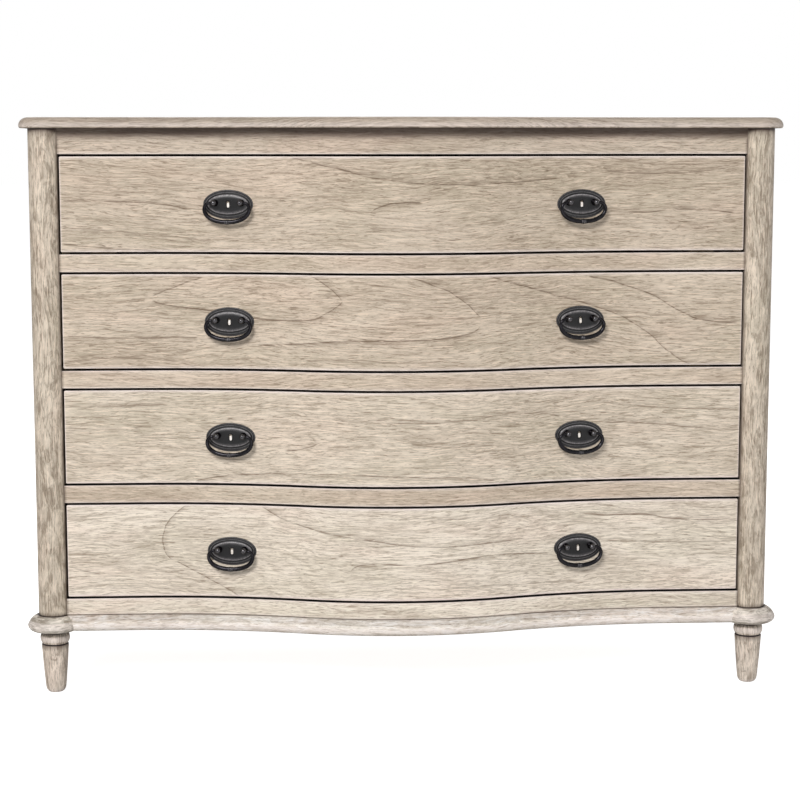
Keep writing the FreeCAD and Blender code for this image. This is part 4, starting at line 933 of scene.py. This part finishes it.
def foot_profile():
    """A foot from the floor up: eased tip, taper, groove, ring and neck. Painted shade fills the groove and
    the neck under the lobe, and pale wear with painted highlight lies on the tip and the ring.
    """
    out = [(3.0, 0.0, 0.3), (9.2, 0.0, 0.3, 0.2), (11.2, 0.5, 0.1, 0.5), (13.2, 2.0, 0.0, 0.6),
           (14.9, 4.6, 0.0, 0.4), (15.8, 7.0, 0.0, 0.1), (TAPER_R, TAPER_LOW)]
    for k in range(1, 9):
        share = k / 8
        radius = TAPER_R + TAPER_GROWS * share + TAPER_SWELLS * sin(pi * share)
        out.append((radius, TAPER_LOW + TAPER_TALL * share, 0.6 if k == 8 else 0.0))
    out += [(20.7, 79.8, 1.0), (NECK_R, 81.2, 1.0), (21.2, 82.0, 0.6)]
    for k in range(1, 14):
        angle = radians(-78 + 156 * k / 14)
        out.append((RING_CORE + RING_OUT * cos(angle), RING_Z + RING_HALF_TALL * sin(angle),
                    0.0, 0.6 if 3 < k < 10 else 0.0))
    return out + [(20.8, 98.4, 0.8), (NECK_R, 99.0, 1.0), (NECK_R, LOBE_LOW, 1.0)]


def feet():
    for name, y in (("front_feet", POST_Y), ("rear_feet", REAR_POST_Y)):
        sheet = Sheet()
        for side in SIDES:
            turned(sheet, side * POST_X, y, foot_profile(), 56)
        piece(f"{name}_shown", sheet, foot_wood, [name], 40.0)


# The drawers

def drawer_front(number, level):
    high = level + OPENING - GAP
    section = rounded_face(level + GAP, high, FRONT_THICK, FRONT_ARRIS, 1.0, FRONT_SHADE_BAND)
    bowed_bar(f"front_{number}", fronts_wood[number - 1], section, FRONT_HALF, [f"drawer_{number}_front"],
              FRONT_END_ROUND, FRONT_CORNER, body=f"drawer_{number}", slot="drawer_front")


class PullFrame:
    """Across, up and out of one pull, as it stands on the flank of the bow."""

    def __init__(self, side, height):
        self.side = side
        self.origin = Vector((side * PULL_X, PULL_Y, height))
        self.across = Vector((side * cos(PULL_TURN), sin(PULL_TURN), 0.0))
        self.out = Vector((side * sin(PULL_TURN), -cos(PULL_TURN), 0.0))

    def at(self, across, out, up):
        return tuple(self.origin + self.across * across + self.out * out + Vector((0.0, 0.0, up)))


# From the rim of a plate inwards: inset, rise, dark glaze and shade, pale wear and painted highlight.
# Highlights are painted along the ridges.
PLATE_SECTION = [(0.0, 0.0, 1.0), (0.25, 0.7, 0.4), (0.8, 1.05, 0.0, 0.35), (1.4, 1.1, 0.0, 0.1),
                 (2.8, 0.95, 0.3), (3.6, 1.05, 0.0, 0.15), (4.3, 1.15, 0.0, 0.3), (5.2, 1.05, 0.2),
                 (6.4, 0.95, 0.9), (7.0, 1.1, 0.9), (7.6, 1.7, 0.0, 0.5), (8.2, 2.15, 0.0, 1.0),
                 (9.0, 2.4, 0.0, 0.5), (10.4, 2.72, 0.0, 0.2), (12.0, 2.95, 0.0, 0.05), (13.8, 3.08, 0.1),
                 (16.0, 3.15, 0.3), (17.4, 3.15, 0.4)]

# The edge of its slot: wider and higher by these shares, rise, and painted shade on the slot's walls
SLOT_EDGE = [(0.49, 0.224, 3.15, 0.9), (0.175, 0.08, 3.1, 1.0), (0.0, 0.0, 2.6, 1.0), (0.0, 0.0, 0.0, 1.0)]

# A pull's bolt from its foot on the plate out to the ball: radius, out, painted shade (black round the
# collar), wear and painted highlight
BOLT_FOOT = [(5.6, 1.6, 1.0), (5.6, 3.4, 1.0), (5.2, 3.9, 0.8), (4.0, 4.5, 0.9), (2.9, 5.2, 1.0),
             (2.8, 7.6, 1.0)]
BOLT_END = [(0.5, -27.0, 0.0, 0.3), (1.9, -26.4, 0.0, 0.5), (2.3, -25.8), (2.3, -18.0)]

# The square nut behind the drawer front: half its width, out
NUT_SECTION = [(4.2, -20.4), (5.0, -21.2), (5.0, -24.0), (4.2, -24.8)]


def slot_outline(flats):
    """The keyhole slot: across and up, with straight sides and round ends."""
    straight = SLOT_HALF_HIGH - SLOT_HALF_WIDE
    out = []
    for a, b in circle(flats):
        up = SLOT_HALF_WIDE * b + copysign(straight, b) * min(1.0, abs(b) * 3)
        out.append((SLOT_HALF_WIDE * a, up))
    return out


def plate(sheet, pull):
    """An oval plate with a wide rim, a raised oval ridge and an open keyhole slot."""
    flats = 72
    rows = []
    for inset, rise, *paint in PLATE_SECTION:
        wide = PLATE_HALF_WIDE - inset
        high = PLATE_HALF_HIGH - inset
        ring = [pull.at(wide * a, rise, high * b) for a, b in circle(flats)]
        rows.append(sheet.row(ring, *paint))
    for wider, higher, rise, glaze_and_shade in SLOT_EDGE:
        ring = [pull.at(a * (1 + wider), rise, b * (1 + higher)) for a, b in slot_outline(flats)]
        rows.append(sheet.row(ring, glaze_and_shade))
    sheet.skin(rows, False)


def keyhole(sheet, pull):
    """The pale drawer front that shows in the slot of a plate, low in it and to the outside."""
    ring = [(0.8 * a + 0.3 * pull.side, 0.74 * b - 1.2) for a, b in slot_outline(24)]
    rows = [sheet.row([pull.at(a, rise, b) for a, b in ring]) for rise in (0.1, 2.0)]
    rows.append(sheet.row([pull.at(a * 0.9, 2.3, b * 0.95) for a, b in ring]))
    sheet.skin(rows)


def bolt_profile():
    """A pull's bolt in front of the plate, with the ball that carries the bail. Painted shade darkens the
    ball's back towards the plate, and a painted highlight pales its front.
    """
    out = list(BOLT_FOOT)
    for k in range(1, 11):
        angle = radians(-58 + 148 * k / 11)
        out.append((BALL_R * cos(angle), BALL_OUT + BALL_R * sin(angle),
                    max(0.0, 0.8 - 0.3 * k), 0.7 if k > 4 else 0.0))
    return out + [(0.3, BALL_OUT + BALL_R, 0.0, 0.3)]


def lathe_out(sheet, pull, across, profile, flats):
    """A shape turned about a bolt's axis. profile holds (radius, out, painted shade, wear and painted
    highlight).
    """
    rows = []
    for radius, out, *paint in profile:
        ring = [pull.at(across + radius * a, out, BOLT_UP + radius * b) for a, b in circle(flats)]
        rows.append(sheet.row(ring, *paint))
    sheet.skin(rows)


def nut(sheet, pull, across):
    """The square nut and the end of the bolt behind the drawer front."""
    corners = ((1, 1), (-1, 1), (-1, -1), (1, -1))
    sheet.skin([sheet.row([pull.at(across + half * a, out, BOLT_UP + half * b) for a, b in corners])
                for half, out in NUT_SECTION])
    lathe_out(sheet, pull, across, BOLT_END, 24)


def bail_path():
    """The middle line of a bail: out of one ball, round an elbow, down along an oval, and up again."""
    path = [(BOLT_ACROSS + (PIN_END - BOLT_ACROSS) * k / 4, 0.0) for k in range(5)]
    for k in range(1, 9):
        angle = QUARTER * k / 8
        path.append((PIN_END + ELBOW_R * sin(angle), -ELBOW_R * (1 - cos(angle))))
    for k in range(1, 25):
        angle = QUARTER * k / 24
        path.append((BAIL_HALF_WIDE * cos(angle) ** BAIL_SQUARENESS,
                     -ELBOW_R - BAIL_FALL * sin(angle) ** BAIL_SQUARENESS))
    path = [(-a, b) for a, b in path] + path[-2::-1]
    return [Vector((a, BALL_OUT, b)) for a, b in path]


def bail_rod(sheet, pull):
    """The rod of a bail, thin in the balls and swelling towards the middle."""
    points = bail_path()
    lengths = [0.0]
    for one, other in zip(points, points[1:]):
        lengths.append(lengths[-1] + (other - one).length)
    outward = Vector((0, 1, 0))
    in_ball = 4
    rows = []
    for at, point in enumerate(points):
        along = (points[min(len(points) - 1, at + 1)] - points[max(0, at - 1)]).normalized()
        side = along.cross(outward).normalized()
        share = abs(lengths[at] / lengths[-1] - 0.5) * 2
        radius = ROD_THIN + ROD_SWELL * exp(-(share / 0.74) ** 4)
        if min(at, len(points) - 1 - at) < in_ball:
            radius = PIN_R
        ring = []
        for a, b in circle(20):
            spot = point + side * (radius * a) + outward * (radius * b)
            ring.append(pull.at(spot.x, spot.y, spot.z + BOLT_UP))
        rows.append(sheet.row(ring, 0.0, 0.08))
    sheet.skin(rows)


def bail_beads(sheet, pull):
    """Three beads at the middle of a bail, the one between them larger, with painted shade between them and
    a painted highlight on their crowns.
    """
    low = BOLT_UP - ELBOW_R - BAIL_FALL
    for shift, size in ((-2.6, 0.7), (0.0, 1.0), (2.6, 0.7)):
        rows = []
        for k in range(9):
            angle = pi * k / 8
            along = shift - BEAD_HALF_LONG * size * cos(angle)
            radius = BEAD_CORE + BEAD_PROUD * size * sin(angle)
            ring = [pull.at(along, BALL_OUT + radius * a, low + radius * b) for a, b in circle(24)]
            rows.append(sheet.row(ring, 0.5 if k in (0, 8) else 0.0, 0.8 if 2 < k < 6 else 0.0))
        sheet.skin(rows)


def pulls(number, level):
    """The two pulls of a drawer. Only the bails have bodies of their own."""
    plates, slots, bolts, nuts = (Sheet() for _ in range(4))
    for side, name in SIDES.items():
        pull = PullFrame(side, level + PULL_RISE)
        plate(plates, pull)
        keyhole(slots, pull)
        for across in (-BOLT_ACROSS, BOLT_ACROSS):
            lathe_out(bolts, pull, across, bolt_profile(), 32)
            nut(nuts, pull, across)
        bail = Sheet()
        bail_rod(bail, pull)
        bail_beads(bail, pull)
        body = f"drawer_{number}_bail_{name}"
        piece(f"bail_{number}_{name}", bail, rod_bronze, [body], 50.0, body, "pulls")
    body = f"drawer_{number}"
    piece(f"plates_{number}", plates, plate_bronze, [f"{body}_pull_plates"], 40.0, body, "pulls")
    piece(f"pull_posts_{number}", bolts, rod_bronze, [f"{body}_pull_bolts"], 40.0, body, "pulls")
    piece(f"keyholes_{number}", slots, keyhole_highlight_wood, (), 30.0, body, "drawer_front")
    piece(f"pull_nuts_{number}", nuts, nut_steel, (), 30.0, body, "pulls")


def paint(names, material):
    """Gives CAD boards their material."""
    for name in names:
        mesh = nodes[name].data
        mesh.materials.clear()
        mesh.materials.append(material)


top_board()
for side, name in SIDES.items():
    front_post(side, name)
    base_side(side, name)
rails()
base_front()
lobes()
feet()
for number, level in enumerate(LEVELS, 1):
    drawer_front(number, level)
    pulls(number, level)
    paint([f"drawer_{number}_side_left", f"drawer_{number}_side_right"], inner_wood)
    paint([f"drawer_{number}_back"], cross_wood)
    paint([f"drawer_{number}_bottom"], bottom_wood)
paint(["side_panel_left", "side_panel_right"], side_wood)
paint(["rear_post_left", "rear_post_right", "back_panel"], rear_wood)
paint(["rear_rails"], cross_wood)
paint(["drawer_runners", "drawer_stops", "top_cleats"], inner_wood)
paint(["top_screws"], nut_steel)


# Floor, light and camera

WHITE = (1.0, 1.0, 1.0, 1.0)
FLOOR_HALF = 40.0
FLOOR_LIFT = 0.93
WORLD_LEVEL = 0.16
LENS = 88.7
SENSOR = 36.0
EYE = (-0.174, -3.3289, 0.8855)
EYE_TURNS = (82.59, 0.02, -3.02)


def floor_material():
    """White paper: it takes the shadow, and is seen as white."""
    graph = Graph(bpy.data.materials.new("white_floor"))
    cloud = graph.noise(graph.place(), 1.5, 3.0, 0.5)
    colour = graph.mix(graph.ramp(cloud, 0.2, 0.8), linear(200, 200, 200), linear(206, 206, 206))
    paper = graph.fed("BsdfDiffuse", colour)
    glow = graph.named("Emission", Strength=graph.times(graph.bright_rays(), FLOOR_LIFT))
    both = graph.fed("AddShader", paper.outputs[0], glow.outputs[0])
    graph.fed("OutputMaterial", both.outputs[0])
    return graph.owner


def lay_floor():
    mesh = bpy.data.meshes.new("floor")
    corners = [(x * FLOOR_HALF, y * FLOOR_HALF, 0) for x, y in ((-1, -1), (1, -1), (1, 1), (-1, 1))]
    mesh.from_pydata(corners, [], [(0, 1, 2, 3)])
    mesh.materials.append(floor_material())
    floor = bpy.data.objects.new("floor", mesh)
    bpy.context.collection.objects.link(floor)


def light_world():
    """Even light at a low level, from a world that is seen as white."""
    graph = Graph(bpy.data.worlds.new("studio"))
    bpy.context.scene.world = graph.owner
    even = graph.fed("Background", WHITE, WORLD_LEVEL)
    white = graph.fed("Background", WHITE, 1.0)
    both = graph.fed("MixShader", graph.bright_rays(), even.outputs[0], white.outputs[0])
    graph.fed("OutputWorld", both.outputs[0])


def lamp(name, place, target, wide, high, power, colour=(1.0, 1.0, 1.0)):
    """A rectangular lamp turned towards its target."""
    light = bpy.data.lights.new(name, "AREA")
    light.shape = "RECTANGLE"
    light.size = wide
    light.size_y = high
    light.energy = power
    light.color = colour
    obj = bpy.data.objects.new(name, light)
    obj.location = place
    obj.rotation_euler = (Vector(target) - Vector(place)).to_track_quat("-Z", "Y").to_euler()
    bpy.context.collection.objects.link(obj)


def set_camera():
    """The camera that was fitted to the outlines of the photograph."""
    camera = bpy.data.cameras.new("camera")
    camera.lens = LENS
    camera.sensor_width = SENSOR
    camera.sensor_fit = "HORIZONTAL"
    eye = bpy.data.objects.new("camera", camera)
    eye.location = EYE
    eye.rotation_euler = [radians(turn) for turn in EYE_TURNS]
    bpy.context.collection.objects.link(eye)
    bpy.context.scene.camera = eye


lay_floor()
light_world()
lamp("key", (-2.2, -6.0, 4.2), (0.0, 0.0, 0.45), 2.8, 1.9, 404.0, (1.0, 0.99, 0.975))
lamp("front_fill", (0.4, -4.2, 0.45), (0.0, 0.0, 0.15), 3.2, 0.5, 18.0)
lamp("right_fill", (3.8, -0.5, 1.6), (0.0, 0.0, 0.5), 1.6, 2.0, 24.0, (0.97, 0.985, 1.0))
lamp("back_light", (0.0, 3.4, 2.6), (0.0, 0.0, 0.5), 2.6, 1.6, 80.0)
set_camera()
bpy.context.scene.view_settings.view_transform = "Standard"
